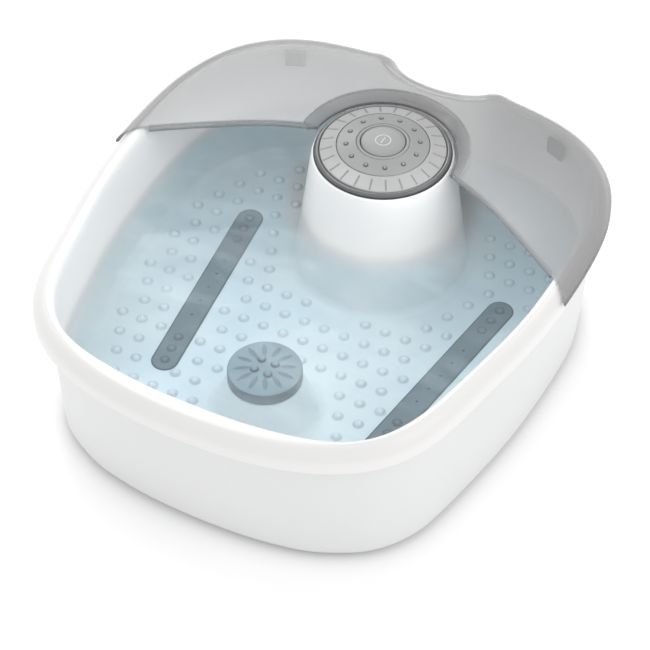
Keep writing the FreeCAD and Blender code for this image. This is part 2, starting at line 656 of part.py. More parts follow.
z0 = S("dial_step_height") - (x0 - S("dial_step_radius")) * math.tan(math.radians(sl)) - 0.55
g.Placement = FreeCAD.Placement(V(x0, -0.55, z0), FreeCAD.Rotation(V(0, 1, 0), sl))
doc.recompute()
polar(b, "grip_grooves", g, 24)
doc.recompute()
place(b, 0, ("tower_y", 0), 0)

b = new_body("dial_trim_disc")
revolve(b, "trim_profile", [
    (("dial_inner_radius", 1.9), ("dial_inner_height", -1.6)), (("dial_step_radius", -1.0), ("dial_step_height", -1.35)),
    (("dial_step_radius", -1.0), ("dial_step_height", 0.0)), (("dial_step_radius", -1.8), ("dial_step_height", 0.55)),
    (("dial_inner_radius", 1.9), ("dial_inner_height", -0.1))])
doc.recompute()
n = b.newObject("PartDesign::AdditiveSphere", "position_bump")
n.Radius = 1.3
n.Placement = FreeCAD.Placement(V(28.7, 0, 140.55), FreeCAD.Rotation())
doc.recompute()
polar(b, "position_bumps", n, 12)
doc.recompute()
place(b, 0, ("tower_y", 0), 0)

b = new_body("dial_bezel")
revolve(b, "bezel_profile", [
    (("bezel_inner", 0), ("tower_top", 0)), (("bezel_outer", 0), ("tower_top", 0)),
    (("bezel_outer", 0), ("tower_top", 1.9)), (("bezel_outer", -0.9), ("tower_top", 2.9)),
    (("bezel_outer", -2.2), ("tower_top", 3.2)), (("bezel_inner", 0), ("tower_top", 2.6))])
place(b, 0, ("tower_y", 0), 0)

b = new_body("dial_bushing")
revolve(b, "bushing_profile", [
    (("bushing_bore", 0), ("tower_top", -7.0)), (("bushing_radius", 0), ("tower_top", -7.0)),
    (("bushing_radius", 0), ("tower_top", 0)), (("bushing_radius", 3.0), ("tower_top", 0)),
    (("bushing_radius", 3.0), ("tower_top", 1.6)), (("bushing_bore", 0), ("tower_top", 3.0))])
place(b, 0, ("tower_y", 0), 0)

b = new_body("dial_seal")
revolve(b, "seal_profile", [
    (("bushing_radius", 3.4), ("tower_top", 0)), (("bushing_radius", 7.4), ("tower_top", 0)),
    (("bushing_radius", 7.4), ("tower_top", 1.0)), (("bushing_radius", 6.0), ("tower_top", 2.8)),
    (("bushing_radius", 5.0), ("tower_top", 2.8)), (("bushing_radius", 3.4), ("tower_top", 1.2))])
place(b, 0, ("tower_y", 0), 0)

b = new_body("contact_disc")
revolve(b, "contact_profile", [
    (("hub_radius", 0), ("hub_bottom", 0)), (("hub_radius", 10.0), ("hub_bottom", 0)),
    (("hub_radius", 10.0), ("hub_bottom", 2.0)), (("hub_radius", 0), ("hub_bottom", 2.0))])
place(b, 0, ("tower_y", 0), 0)

# ----------------------------------------------------------------- power button
b = new_body("power_button")
revolve(b, "button_profile", [
    (0, ("stem_bottom", 0)), (("stem_radius", 0), ("stem_bottom", 0)), (("stem_radius", 0), ("button_top", -3.0)),
    (("button_radius", -2.0), ("button_top", -3.0)), (("button_radius", -2.0), ("button_top", -9.0)),
    (("button_radius", 0), ("button_top", -9.0)), (("button_radius", 0), ("button_top", -0.8)),
    (("button_radius", -0.8), ("button_top", 0)), (("button_radius", -9.0), ("button_top", 0.45)),
    (0, ("button_top", 0.6))])
place(b, 0, ("tower_y", 0), 0)

spring_r, wire_r, turns = 5.0, 0.45, 6.0
z0, z1 = 121.0 + wire_r, S("button_top") - 3.0 - wire_r
helix = Part.makeHelix((z1 - z0) / turns, z1 - z0, spring_r)
section = Part.Wire([Part.makeCircle(wire_r, V(spring_r, 0, 0), V(0, 1, 0))])
coil = Part.Wire(helix.Edges).makePipeShell([section], True, True)
o = feature("button_spring", coil)
place(o, 0, ("tower_y", 0), z0)

# ------------------------------------------------- switch carrier and its boards
car = [cyl(("carrier_radius", 0), ("carrier_thickness", 0), 0, ("tower_y", 0), ("carrier_bottom", 0))]
for ax, ay in ((25, 20.5), (-25, 20.5), (25, -20.5), (-25, -20.5)):
    car.append(cyl(3.0, 15.4, ax, ("tower_y", ay), ("board_bottom", 1.6)))
carrier = fuse(car)
drill = [cyl(("screw_radius", 0.1), 8.0, bx, by, 109.0) for bx, by in BOSSES]
drill.append(block(14.0, 8.0, 8.0, -7.0, ("tower_y", -34.0), 109.0))
cut(carrier, fuse(drill), "switch_carrier")
group([fuse([cyl(3.0, 2.0, bx, by, 110.0), cyl(("screw_radius", 0), 10.5, bx, by, 112.0)]) for bx, by in BOSSES],
      "carrier_screws")

b = new_body("selector_board")
sk = sketch(b, "ring_outline", "XY_Plane", 115.0)
circle(sk, 0, 0, 33.0 - 1.5)
circle(sk, 0, 0, 12.0)
pad(b, "ring_board", sk, ("board_thickness", 0))
place(b, 0, ("tower_y", 0), 0)

cut(block(12.0, 12.0, 6.0, -6.0, ("tower_y", -6.0), 115.0),
    cyl(("stem_radius", 0.3), 4.0, 0, ("tower_y", 0), 117.4), "push_switch")

b = new_body("main_board")
sk = sketch(b, "board_outline", "XY_Plane", ("board_bottom", 0))
polygon(sk, [(("board_length", 0, -0.5), ("board_width", 0, -0.5)), (("board_length", 0, 0.5), ("board_width", 0, -0.5)),
             (("board_length", 0, 0.5), ("board_width", 0, 0.5)), (("board_length", 0, -0.5), ("board_width", 0, 0.5))])
pad(b, "board", sk, ("board_thickness", 0))
place(b, 0, ("tower_y", 0), 0)

group([cyl(5.0, 13.0, -22.0, ("tower_y", -12.0), 82.0), cyl(5.0, 13.0, -22.0, ("tower_y", 2.0), 82.0),
       block(9.0, 14.0, 4.0, -13.0, ("tower_y", 7.0), 91.0), block(10.0, 6.0, 6.0, -12.0, ("tower_y", -20.0), 89.0)],
      "board_components")
b = new_body("transformer")
sk = sketch(b, "core_outline", "XY_Plane", 77.0)
polygon(sk, [(2.0, -12.0), (26.0, -12.0), (26.0, 12.0), (2.0, 12.0)])
pad(b, "core", sk, 18.0)
place(b, 0, ("tower_y", 0), 0)
tb = block(24.0, 8.0, 9.0, 2.0, ("tower_y", 13.0), 86.0)
cut(tb, fuse([cyl(1.6, 9.0, 6.0 + 5.3 * k, ("tower_y", 17.0), 83.0) for k in range(4)]), "terminal_block")

# --------------------------------------------------------------------- air pump
vol = [cyl(("pump_radius", 0), ("pump_height", 0), 0, ("tower_y", 0), ("pump_base", 0)),
       block(18.0, 26.0, 8.0, -9.0, ("tower_y", -62.0), 9.5)]
vol_in = [cyl(("pump_radius", -2.0), ("pump_height", 0), 0, ("tower_y", 0), ("pump_base", 2.0)),
          block(14.0, 40.0, 4.0, -7.0, ("tower_y", -66.0), 11.5)]
cut(fuse(vol), fuse(vol_in), "pump_housing")

b = new_body("pump_cover")
sk = sketch(b, "cover_outline", "XY_Plane", 24.0)
circle(sk, 0, 0, ("pump_radius", 0))
circle(sk, 0, 0, 3.0)
pad(b, "cover", sk, ("pump_cover_thickness", 0))
hs = sketch(b, "inlet_outline", "XY_Plane", 24.0)
circle(hs, 24.0, 0, 4.0)
doc.recompute()
h = b.newObject("PartDesign::Pocket", "inlet")
h.Profile = hs
h.Type = 1
h.Midplane = True
doc.recompute()
polar(b, "inlets", h, 6)
doc.recompute()
place(b, 0, ("tower_y", 0), 0)

cut(fuse([cyl(("pump_motor_radius", 0), ("pump_motor_length", 0), 0, ("tower_y", 0), 26.5),
          cyl(5.0, 3.0, 0, ("tower_y", 0), 54.0)]),
    cyl(("pump_shaft_radius", 0.05), 6.0, 0, ("tower_y", 0), 25.5), "pump_motor")

b = new_body("impeller")
revolve(b, "fan_disc", [
    (("pump_shaft_radius", 0), ("fan_base", 0)), (("fan_radius", 0), ("fan_base", 0)),
    (("fan_radius", 0), ("fan_base", 1.6)), (6.0, ("fan_base", 1.6)), (6.0, ("fan_base", 12.0)),
    (("pump_shaft_radius", 0), ("fan_base", 12.0))])
bs = sketch(b, "blade_outline", "XY_Plane", ("fan_base", 1.0))
polygon(bs, [(14.0, -0.8), (("fan_radius", -0.6), -5.8), (("fan_radius", -0.2), -4.2), (14.0, 0.8)])
doc.recompute()
bl = pad(b, "blade", bs, 10.6)
doc.recompute()
polar(b, "blades", bl, 8)
doc.recompute()
place(b, 0, ("tower_y", 0), 0)
o = cyl(("pump_shaft_radius", 0), 22.0, 0, ("tower_y", 0), 8.5)
node(o, "pump_shaft")

man = [block(32.0, 10.0, 8.0, -16.0, ("tower_y", -72.0), 9.5),
       cyl(("nipple_radius", 0), 48.0, -24.0, ("tower_y", -67.0), ("duct_axis_height", 0), V(0, 1, 0), 90.0)]
man_in = [block(28.0, 8.0, 4.0, -14.0, ("tower_y", -70.0), 11.5),
          cyl(2.0, 52.0, -26.0, ("tower_y", -67.0), ("duct_axis_height", 0), V(0, 1, 0), 90.0)]
cut(fuse(man), fuse(man_in), "air_manifold")

# Two air hoses, each between a manifold nipple and a channel nipple.
xs = sx0 + (sx1 - sx0) * (sy0 - hose_y) / (sy0 - sy1)
x_end = xs - 13.4
for label, side in (("air_hose_right", 1), ("air_hose_left", -1)):
    xa = 16.2 if side > 0 else -x_end
    o = cut(cyl(("hose_radius", 0), x_end - 16.2, xa, hose_y, ("duct_axis_height", 0), V(0, 1, 0), 90.0),
            cyl(("hose_bore", 0), x_end, xa - 2.0, hose_y, ("duct_axis_height", 0), V(0, 1, 0), 90.0), label)
clips = []
for side in (1, -1):
    for cx in (19.0, x_end - 6.0):
        xa = cx if side > 0 else -cx - 3.0
        clips.append(cut(cyl(("hose_radius", 0.9), 3.0, xa, hose_y, ("duct_axis_height", 0), V(0, 1, 0), 90.0),
                         cyl(("hose_radius", 0.0), 5.0, xa - 1.0, hose_y, ("duct_axis_height", 0), V(0, 1, 0), 90.0)))
group(clips, "hose_clips")

# ------------------------------------------------- vibration motor in the pedestal
zv = S("vib_axis_height")
cut(cyl(("vib_motor_radius", 0), ("vib_motor_length", 0), -22.0, ("pedestal_y", 0), ("vib_axis_height", 0), V(0, 1, 0), 90.0),
    cyl(("vib_shaft_radius", 0.05), 8.0, 2.0, ("pedestal_y", 0), ("vib_axis_height", 0), V(0, 1, 0), 90.0), "vibration_motor")
brk = block(16.0, 33.0, zp - TW - 24.0, -14.0, ("pedestal_y", -16.5), 24.0)
bores = [cyl(("vib_motor_radius", 0), 20.0, -16.0, ("pedestal_y", 0), ("vib_axis_height", 0), V(0, 1, 0), 90.0)]
for py in (-13.5, 13.5):
    bores.append(cyl(1.25, 40.0, -6.0, ("pedestal_y", py), 20.0))
cut(brk, fuse(bores), "motor_bracket")
group([fuse([cyl(2.8, 2.2, -6.0, ("pedestal_y", py), 21.8), cyl(1.2, 27.6, -6.0, ("pedestal_y", py), 24.0)])
       for py in (-13.5, 13.5)], "bracket_screws")
o = cyl(("vib_shaft_radius", 0), 17.0, 3.0, ("pedestal_y", 0), ("vib_axis_height", 0), V(0, 1, 0), 90.0)
node(o, "vibration_shaft")

b = new_body("eccentric_weight")
from Sketcher import Constraint
sk = sketch(b, "weight_outline", "YZ_Plane")
rw = S("weight_radius")
polygon(sk, [(-8.5, 0.0), (-6.0, -6.0), (0.0, -8.5), (6.0, -6.0), (8.5, 0.0), (3.0, 3.0), (-3.0, 3.0)])
circle(sk, 0, 0, ("vib_shaft_radius", 0))
pad(b, "weight", sk, ("weight_thickness", 0))
place(b, 10.5, ("pedestal_y", 0), ("vib_axis_height", 0))

# ---------------------------------------------------- heater and its thermostat
b = new_body("heater_plate")
sk = sketch(b, "heater_outline")
polygon(sk, [(("heater_length", 0, -0.5), ("heater_width", 0, -0.5)), (("heater_length", 0, 0.5), ("heater_width", 0, -0.5)),
             (("heater_length", 0, 0.5), ("heater_width", 0, 0.5)), (("heater_length", 0, -0.5), ("heater_width", 0, 0.5))])
pad(b, "heater", sk, ("heater_thickness", 0))
place(b, 0, -6.0, ("floor_top", -4.4))
node(fuse([cyl(("thermostat_radius", 0), ("thermostat_height", 0), 34.0, -6.0, ("floor_top", -11.4)),
           block(3.0, 22.0, 1.0, 32.5, -17.0, ("floor_top", -11.4))]), "thermostat")
node(block(26.0, 7.0, 5.0, -46.0, -9.5, ("floor_top", -9.4)), "thermal_fuse")

# ---------------------------------------------------------------- massage disc
b = new_body("massage_disc")
revolve(b, "disc_body", [
    (("disc_socket", 0), ("disc_base", 0)), (("disc_radius", -0.6), ("disc_base", 0)),
    (("disc_radius", 0), ("disc_base", 0.8)), (("disc_radius", 0), ("disc_edge", -1.6)),
    (("disc_radius", -0.9), ("disc_edge", -0.3)), (("disc_radius", -2.4), ("disc_edge", 0.2)),
    (12.0, ("disc_crown", -0.3)), (0, ("disc_crown", 0)), (0, ("disc_base", 7.0)), (("disc_socket", 0), ("disc_base", 7.0))])
doc.recompute()
g = b.newObject("PartDesign::SubtractiveEllipsoid", "petal_slot")
g.Radius1, g.Radius2, g.Radius3 = 1.8, 6.55, 2.0
g.Placement = FreeCAD.Placement(V(17.6, 0, S("disc_crown") - 0.7), FreeCAD.Rotation())
doc.recompute()
polar(b, "petal_slots", g, 12)
doc.recompute()
n = b.newObject("PartDesign::AdditiveSphere", "disc_nub")
n.Radius = 2.9
n.Placement = FreeCAD.Placement(V(8.1 * math.cos(math.pi / 4), 8.1 * math.sin(math.pi / 4), S("disc_crown") - 1.0), FreeCAD.Rotation())
doc.recompute()
polar(b, "disc_nubs", n, 4)
doc.recompute()
place(b, 0, ("pedestal_y", 0), 0)

# ---------------------------------------------------------------- splash guard
GT = S("guard_thickness")
zg, zk = S("guard_top"), S("guard_skirt")
# running clearance: nowhere closer to the rim than the wall plus 0.6 mm
grown = inset(rim, -(GT + 0.6))
guard_out = [p if math.hypot(p[0], p[1] - HCY) > math.hypot(q[0], q[1] - HCY) else q
             for p, q in zip(guard_out, grown)]
gout = loft([(guard_out, zk), (guard_out, zg - 12.0), (inset(guard_out, 1.6), zg - 8.4),
             (inset(guard_out, 4.6), zg - 4.9), (inset(guard_out, 9.0), zg - 1.6), (inset(guard_out, 14.0), zg)])
gin = loft([(inset(guard_out, GT), zk - 1.0), (inset(guard_out, GT), zg - 12.4),
            (inset(guard_out, GT + 1.3), zg - 9.6), (inset(guard_out, GT + 4.0), zg - 6.4),
            (inset(guard_out, GT + 8.0), zg - 3.6), (inset(guard_out, GT + 12.2), zg - GT)])
gshell = gout.cut(gin)
print("guard parts", gout.isValid(), gout.Volume, gin.isValid(), gin.Volume, gshell.isValid(), gshell.Volume)
# plan view of the guard: everything behind its front edge
EDGE = [(57.0, 3.0), (59.5, 0.0), (65.0, -3.5), (77.0, -8.0), (92.0, -14.5), (107.0, -22.5), (121.0, -31.0),
        (136.0, -40.5), (152.0, -51.0), (168.0, -62.0), (183.0, -73.0), (200.0, -87.0)]
edge = [(x * KX, y + TY) for x, y in EDGE]


def region(offset, z0, z1):
    """Prism behind the front edge moved back by offset, right and left halves."""
    pts = []
    for i, (x, y) in enumerate(edge):
        a = edge[max(0, i - 1)]
        c = edge[min(len(edge) - 1, i + 1)]
        tx, ty = c[0] - a[0], c[1] - a[1]
        m = math.hypot(tx, ty)
        pts.append(V(x - offset * ty / m, y + offset * tx / m, z0))
    cur = Part.BSplineCurve()
    cur.interpolate(pts)
    right = cur.toShape()
    lpts = [V(-p.x, p.y, p.z) for p in pts][::-1]
    cl = Part.BSplineCurve()
    cl.interpolate(lpts)
    left = cl.toShape()
    bridge = Part.makeLine(lpts[-1], pts[0])
    back = Part.makePolygon([pts[-1], V(260, TY + 200, z0), V(-260, TY + 200, z0), lpts[0]])
    w = Part.Wire([bridge, right] + back.Edges + [left])
    return Part.Face(w).extrude(V(0, 0, z1 - z0))


plan = region(0.0, zk - 5, zg + 5)
gshell = gshell.common(plan)
rc, ro = S("collar_radius"), S("collar_outer")
gshell = gshell.cut(Part.makeCylinder(ro - 0.4, 60, V(0, TY, zk - 20)))
collar = lathe([(rc, zg - 7.4), (rc + 1.0, zg - 7.4), (ro, zg - GT), (ro + 1.5, zg - GT), (ro + 1.5, zg),
                (ro, zg), (rc, zg - 4.8)], 0, TY)
gshell = gshell.fuse(collar.common(plan))
# front flange, hanging inside the mouth of the basin only
flange = region(0.0, zg - S("flange_depth"), zg - 0.6).cut(region(2.0, zg - 20, zg + 5))
clear = prism(inset(mouth, 1.2), 100, 160)
flange = flange.common(clear).cut(Part.makeCylinder(rc + 0.5, 60, V(0, TY, zk - 20)))
gshell = gshell.fuse(flange)
# two locating lugs that hang just inside the rear rim
for side in (1, -1):
    lug = Part.makeBox(16.0, 4.0, 15.5, V(-8.0, -2.0, 0))
    lug.rotate(V(0, 0, 0), V(0, 0, 1), -24.0 * side)
    lug.translate(V(side * 115.0, TY + 69.5, zg - 16.5))
    gshell = gshell.fuse(lug)
print("guard valid", gshell.isValid(), "solids", len(gshell.Solids))
feature("splash_guard", gshell)

# ------------------------------------------------------------------ cord gland
gl = new_body("cord_gland")
revolve(gl, "gland_profile", [
    (("gland_bore", 0), 0.0), (("gland_radius", 0), 0.0), (("gland_radius", 0), 20.0), (("gland_radius", 4.0), 20.0),
    (("gland_radius", 4.0), 22.0), (("gland_radius", 1.0), 23.5), (("gland_bore", 0), 23.5)])
place(gl, ("gland_x", 0), pocket_y - 20.0, ("gland_z", 0), V(1, 0, 0), -90.0)

# --------------------------------------------------------------- check and write
doc.recompute()
bad = [o.Name + ":" + o.Label for o in doc.Objects if "Invalid" in o.State or "Error" in o.State]
if bad:
    raise SystemExit("failed objects: %s" % bad)
lo, hi = V(1e9, 1e9, 1e9), V(-1e9, -1e9, -1e9)
for name, obj in NODES.items():
    s = obj.Shape
    if s.isNull() or not s.isValid():
        raise SystemExit("bad shape: " + name)
    bb = s.BoundBox
    lo = V(min(lo.x, bb.XMin), min(lo.y, bb.YMin), min(lo.z, bb.ZMin))
    hi = V(max(hi.x, bb.XMax), max(hi.y, bb.YMax), max(hi.z, bb.ZMax))
    print("%-22s solids %2d vol %9.1f  x %7.1f %7.1f y %7.1f %7.1f z %6.1f %6.1f" % (
        name, len(s.Solids), s.Volume, bb.XMin, bb.XMax, bb.YMin, bb.YMax, bb.ZMin, bb.ZMax))
print("nodes", len(NODES), "box", lo, hi)
for name, obj in NODES.items():
    obj.Shape.exportStep("parts/%s.step" % name)
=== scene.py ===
import math

import bmesh
import bpy
import numpy as np
from mathutils import Matrix, Vector


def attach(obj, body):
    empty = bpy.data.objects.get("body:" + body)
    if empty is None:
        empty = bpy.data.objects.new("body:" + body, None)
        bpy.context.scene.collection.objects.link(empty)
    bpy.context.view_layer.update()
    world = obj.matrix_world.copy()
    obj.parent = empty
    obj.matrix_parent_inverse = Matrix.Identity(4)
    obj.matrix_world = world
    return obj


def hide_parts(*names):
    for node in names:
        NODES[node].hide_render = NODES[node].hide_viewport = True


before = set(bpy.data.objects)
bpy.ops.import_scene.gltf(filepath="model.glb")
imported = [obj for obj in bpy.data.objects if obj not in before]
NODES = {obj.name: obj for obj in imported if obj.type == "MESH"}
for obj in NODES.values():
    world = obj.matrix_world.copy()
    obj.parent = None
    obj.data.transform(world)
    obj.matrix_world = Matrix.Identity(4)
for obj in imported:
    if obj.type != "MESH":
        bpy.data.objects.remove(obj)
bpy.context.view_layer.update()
scene = bpy.context.scene
scene.view_settings.view_transform = "Standard"
scene.view_settings.look = "None"
MM = 0.001

# ---------------------------------------------------------------- camera
cam_data = bpy.data.cameras.new("camera")
cam_data.sensor_width = 36.0
cam_data.lens = 155.0769
cam_data.clip_start, cam_data.clip_end = 0.05, 30.0
cam = bpy.data.objects.new("camera", cam_data)
scene.collection.objects.link(cam)
RIGHT = Vector((0.8816662, 0.4718736, 0.0))
UP = Vector((-0.3369091, 0.6294936, 0.7001643))
BACK = Vector((0.3303891, -0.6173112, 0.7139817))
cam.matrix_world = Matrix((
    (RIGHT.x, UP.x, BACK.x, 0.7211613),
    (RIGHT.y, UP.y, BACK.y, -1.3352042),
    (RIGHT.z, UP.z, BACK.z, 1.5838190),
    (0, 0, 0, 1)))
scene.camera = cam

# ------------------------------------------------------- sizes, millimetres
TY, PY, HCY = 107.2, -83.2, 12.2
ZF, ZC, ZL, TW = 21.5, 134.0, 114.0, 2.8
WATER = 79.0
BEARING = [-90, -85, -80, -75, -70, -65, -60, -55, -50, -45, -40, -35, -30, -25, -20, -15, -10,
           -5, 0, 5, 10, 15, 20, 25, 30, 35, 40, 45, 50, 55, 60, 65, 70, 73, 75.5, 77, 78.3,
           79.6, 81.5, 84, 87, 90]
RIM = [226.6, 226.9, 228.0, 229.6, 231.4, 233.0, 233.8, 233.2, 230.4, 224.9, 217.3, 209.0, 201.7,
       196.1, 192.5, 190.3, 188.9, 188.6, 189.1, 190.5, 192.7, 196.1, 200.6, 205.9, 211.4,
       216.3, 220.8, 223.1, 223.4, 221.8, 218.3, 213.5, 208.8, 206.9, 205.9, 204.1, 197.8,
       192.8, 188.2, 184.7, 182.4, 181.7]
GUARD = [228.8, 229.1, 230.2, 231.8, 233.6, 235.2, 236.0, 235.4, 232.6, 227.1, 219.5, 211.2, 203.9,
         198.4, 195.0, 192.8, 191.5, 191.5, 192.1, 193.5, 195.8, 199.2, 203.7, 209.0, 214.5,
         219.4, 223.9, 226.2, 226.5, 224.9, 221.4, 216.6, 211.9, 210.0, 209.0, 207.2, 200.9,
         195.9, 191.3, 187.8, 185.5, 184.8]
BASE = [203.8, 204.2, 205.6, 207.6, 210.1, 212.7, 213.9, 214.7, 213.0, 208.5, 201.9, 193.9, 187.2,
        181.8, 177.9, 175.3, 173.7, 173.0, 173.2, 174.4, 176.7, 180.2, 184.9, 190.4, 195.9,
        200.8, 205.3, 207.6, 207.9, 206.3, 202.8, 198.0, 193.2, 191.1, 189.5, 188.4, 187.5,
        186.6, 185.4, 184.1, 183.1, 182.6]
MOUTH = [203.7, 204.4, 205.9, 208.1, 211.0, 214.2, 216.8, 216.8, 213.1, 206.4, 198.5, 190.9, 184.6,
         179.9, 176.6, 174.6, 173.4, 173.0, 173.4, 174.6, 176.7, 180.1, 184.6, 189.9, 195.4,
         200.3, 204.8, 207.1, 207.4, 205.8, 202.3, 197.5, 192.8, 190.4, 187.9, 185.3, 182.2,
         178.5, 174.9, 171.8, 169.9, 169.4]
FLOOR = [191.8, 192.2, 194.3, 197.2, 200.5, 203.7, 205.4, 206.5, 205.2, 200.5, 193.7, 185.9, 179.6,
         175.2, 171.3, 168.7, 167.1, 166.4, 166.6, 167.8, 170.1, 173.6, 178.3, 183.8, 189.3,
         194.2, 198.7, 201.0, 201.3, 199.7, 196.2, 191.4, 186.6, 184.5, 182.9, 181.8, 180.9,
         180.0, 178.8, 177.5, 176.5, 176.0]


def outline(table):
    right = [(r * math.cos(math.radians(a)), r * math.sin(math.radians(a)) + HCY)
             for a, r in zip(BEARING, table)]
    return np.array(right + [(-x, y) for x, y in right[1:-1]][::-1])


def inset(pts, d):
    """Parallel outline, d inward, on the same bearings."""
    if abs(d) < 1e-9:
        return pts.copy()
    n = len(pts)
    c = np.array([0.0, HCY])
    rel = pts - c
    r0 = np.hypot(rel[:, 0], rel[:, 1])
    u = rel / r0[:, None]
    k = np.arange(-14, 14)
    ia = (np.arange(n)[:, None] + k[None, :]) % n
    A, B = pts[ia], pts[(ia + 1) % n]
    D = B - A
    L2 = (D ** 2).sum(-1)
    lo, hi = np.zeros(n), np.full(n, 2.6 * abs(d) + 1.0)
    sign = -1.0 if d > 0 else 1.0
    for _ in range(24):
        m = 0.5 * (lo + hi)
        q = c + (r0 + sign * m)[:, None] * u
        t = np.clip(((q[:, None, :] - A) * D).sum(-1) / L2, 0, 1)
        near = A + t[..., None] * D
        gap = np.sqrt(((q[:, None, :] - near) ** 2).sum(-1)).min(1)
        small = gap < abs(d)
        lo = np.where(small, m, lo)
        hi = np.where(small, hi, m)
    return c + (r0 + sign * hi)[:, None] * u


rim, guard_out, base, mouth, floor = (outline(t) for t in (RIM, GUARD, BASE, MOUTH, FLOOR))
grown = inset(rim, -2.9)
centre = np.array([0.0, HCY])
far = np.hypot(*(guard_out - centre).T) > np.hypot(*(grown - centre).T)
guard_out = np.where(far[:, None], guard_out, grown)

SAMPLES = 480
_chord = np.concatenate([[0], np.cumsum(np.hypot(*(np.roll(rim, -1, 0) - rim).T))])
_T = _chord / _chord[-1]


def _periodic_matrix():
    """Second derivatives of the periodic cubic spline through one value per outline point."""
    n = len(rim)
    h = np.diff(_T)
    A = np.zeros((n, n))
    Bm = np.zeros((n, n))
    for i in range(n):
        hp, hn = h[i - 1], h[i]
        A[i, i - 1] += hp
        A[i, i] += 2 * (hp + hn)
        A[i, (i + 1) % n] += hn
        Bm[i, i - 1] += 6 / hp
        Bm[i, i] -= 6 / hp + 6 / hn
        Bm[i, (i + 1) % n] += 6 / hn
    return np.linalg.solve(A, Bm)


_M2 = _periodic_matrix()
_S = (np.arange(SAMPLES) / SAMPLES)
_I = np.clip(np.searchsorted(_T, _S, side="right") - 1, 0, len(rim) - 1)


def dense(pts):
    n = len(pts)
    M = _M2 @ pts
    h = np.diff(_T)[_I]
    a = ((_T[_I + 1] - _S) / h)[:, None]
    b = 1 - a
    j = (_I + 1) % n
    return (a * pts[_I] + b * pts[j]
            + ((a ** 3 - a) * M[_I] + (b ** 3 - b) * M[j]) * (h ** 2)[:, None] / 6)


def ring(pts, z):
    d = dense(pts)
    return np.column_stack([d, np.full(len(d), float(z))])


def smooth_rings(rings, sub):
    """Centripetal Catmull-Rom through whole rings, sub pieces a span."""
    P = [2 * rings[0] - rings[1]] + list(rings) + [2 * rings[-1] - rings[-2]]
    out = []
    for i in range(1, len(P) - 2):
        p0, p1, p2, p3 = P[i - 1:i + 3]
        d = [max(1e-6, float(np.sqrt(((b - a) ** 2).sum(1)).mean())) ** 0.5 for a, b in ((p0, p1), (p1, p2), (p2, p3))]
        m1 = (p2 - p1) + d[1] * ((p1 - p0) / d[0] - (p2 - p0) / (d[0] + d[1]))
        m2 = (p2 - p1) + d[1] * ((p3 - p2) / d[2] - (p3 - p1) / (d[1] + d[2]))
        for s in range(sub):
            t = s / sub
            out.append((2 * t ** 3 - 3 * t ** 2 + 1) * p1 + (t ** 3 - 2 * t ** 2 + t) * m1
                       + (-2 * t ** 3 + 3 * t ** 2) * p2 + (t ** 3 - t ** 2) * m2)
    out.append(rings[-1])
    return out


class Mesh:
    """Vertices in millimetres, faces, and smooth-shaded parts joined as one object."""

    def __init__(self):
        self.v, self.f = [], []
        self.n = 0
        self.shade = []

    def add(self, verts, faces, shade=None):
        self.v.append(np.asarray(verts, float))
        self.shade.append(np.zeros(len(verts)) if shade is None else np.asarray(shade, float))
        self.f += [tuple(i + self.n for i in face) for face in faces]
        self.n += len(verts)

    def skin(self, rings, closed=False, cap_start=False, cap_end=False, shade=None):
        """Quads between successive rings of equal size; shade is one painted-shade value a ring point."""
        k, m = len(rings[0]), len(rings)
        faces = []
        for i in range(m if closed else m - 1):
            a, b = i * k, ((i + 1) % m) * k
            for j in range(k):
                q = (j + 1) % k
                faces.append((a + j, a + q, b + q, b + j))
        if cap_start:
            faces.append(tuple(range(k))[::-1])
        if cap_end:
            faces.append(tuple((m - 1) * k + j for j in range(k)))
        self.add(np.concatenate(rings), faces, None if shade is None else np.tile(shade, m))

    def lathe(self, prof, cx, cy, seg=96, closed=True):
        """Profile of (r, z) turned round a vertical axis; r 0 at an end makes a pole."""
        verts, index = [], []
        for r, z in prof:
            if r < 1e-6:
                index.append([len(verts)])
                verts.append((cx, cy, z))
            else:
                index.append(list(range(len(verts), len(verts) + seg)))
                verts += [(cx + r * math.cos(2 * math.pi * j / seg), cy + r * math.sin(2 * math.pi * j / seg), z)
                          for j in range(seg)]
        faces = []
        spans = list(range(len(prof) - 1)) + ([len(prof) - 1] if closed else [])
        for i in spans:
            a, b = index[i], index[(i + 1) % len(prof)]
            if len(a) == 1 and len(b) == 1:
                continue
            for j in range(seg):
                q = (j + 1) % seg
                if len(a) == 1:
                    faces.append((a[0], b[q], b[j]))
                elif len(b) == 1:
                    faces.append((a[j], a[q], b[0]))
                else:
                    faces.append((a[j], a[q], b[q], b[j]))
        self.add(verts, faces)

    def build(self, name, body, material, replaces=(), angle=40.0, recalc=True):
        me = bpy.data.meshes.new(name)
        me.from_pydata((np.concatenate(self.v) * MM).tolist(), [], self.f)
        me.update()
        # painted shade: per-vertex values kept as a mesh attribute that darkens the colour
        painted_dark = np.concatenate(self.shade)
        if painted_dark.any():
            me.attributes.new("painted_shade", "FLOAT", "POINT").data.foreach_set("value", painted_dark.astype(np.float32))
        bm = bmesh.new()
        bm.from_mesh(me)
        bmesh.ops.remove_doubles(bm, verts=bm.verts, dist=1e-7)
        if recalc:
            bmesh.ops.recalc_face_normals(bm, faces=bm.faces)
        bm.to_mesh(me)
        bm.free()
        me.shade_smooth()
        try:
            me.set_sharp_from_angle(angle=math.radians(angle))
        except AttributeError:
            pass
        ob = bpy.data.objects.new(name, me)
        scene.collection.objects.link(ob)
        me.materials.append(material)
        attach(ob, body)
        if replaces:
            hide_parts(*replaces)
        return ob


def dome(mesh, x, y, z, prof, seg=14, foot_shade=None):
    mesh.lathe([(r, z + h) for r, h in prof], x, y, seg, closed=False)
    # painted shade: one value a profile ring, darkening the dome's foot
    if foot_shade:
        mesh.shade[-1] = np.concatenate([[d] * (1 if r < 1e-6 else seg) for (r, _), d in zip(prof, foot_shade)])


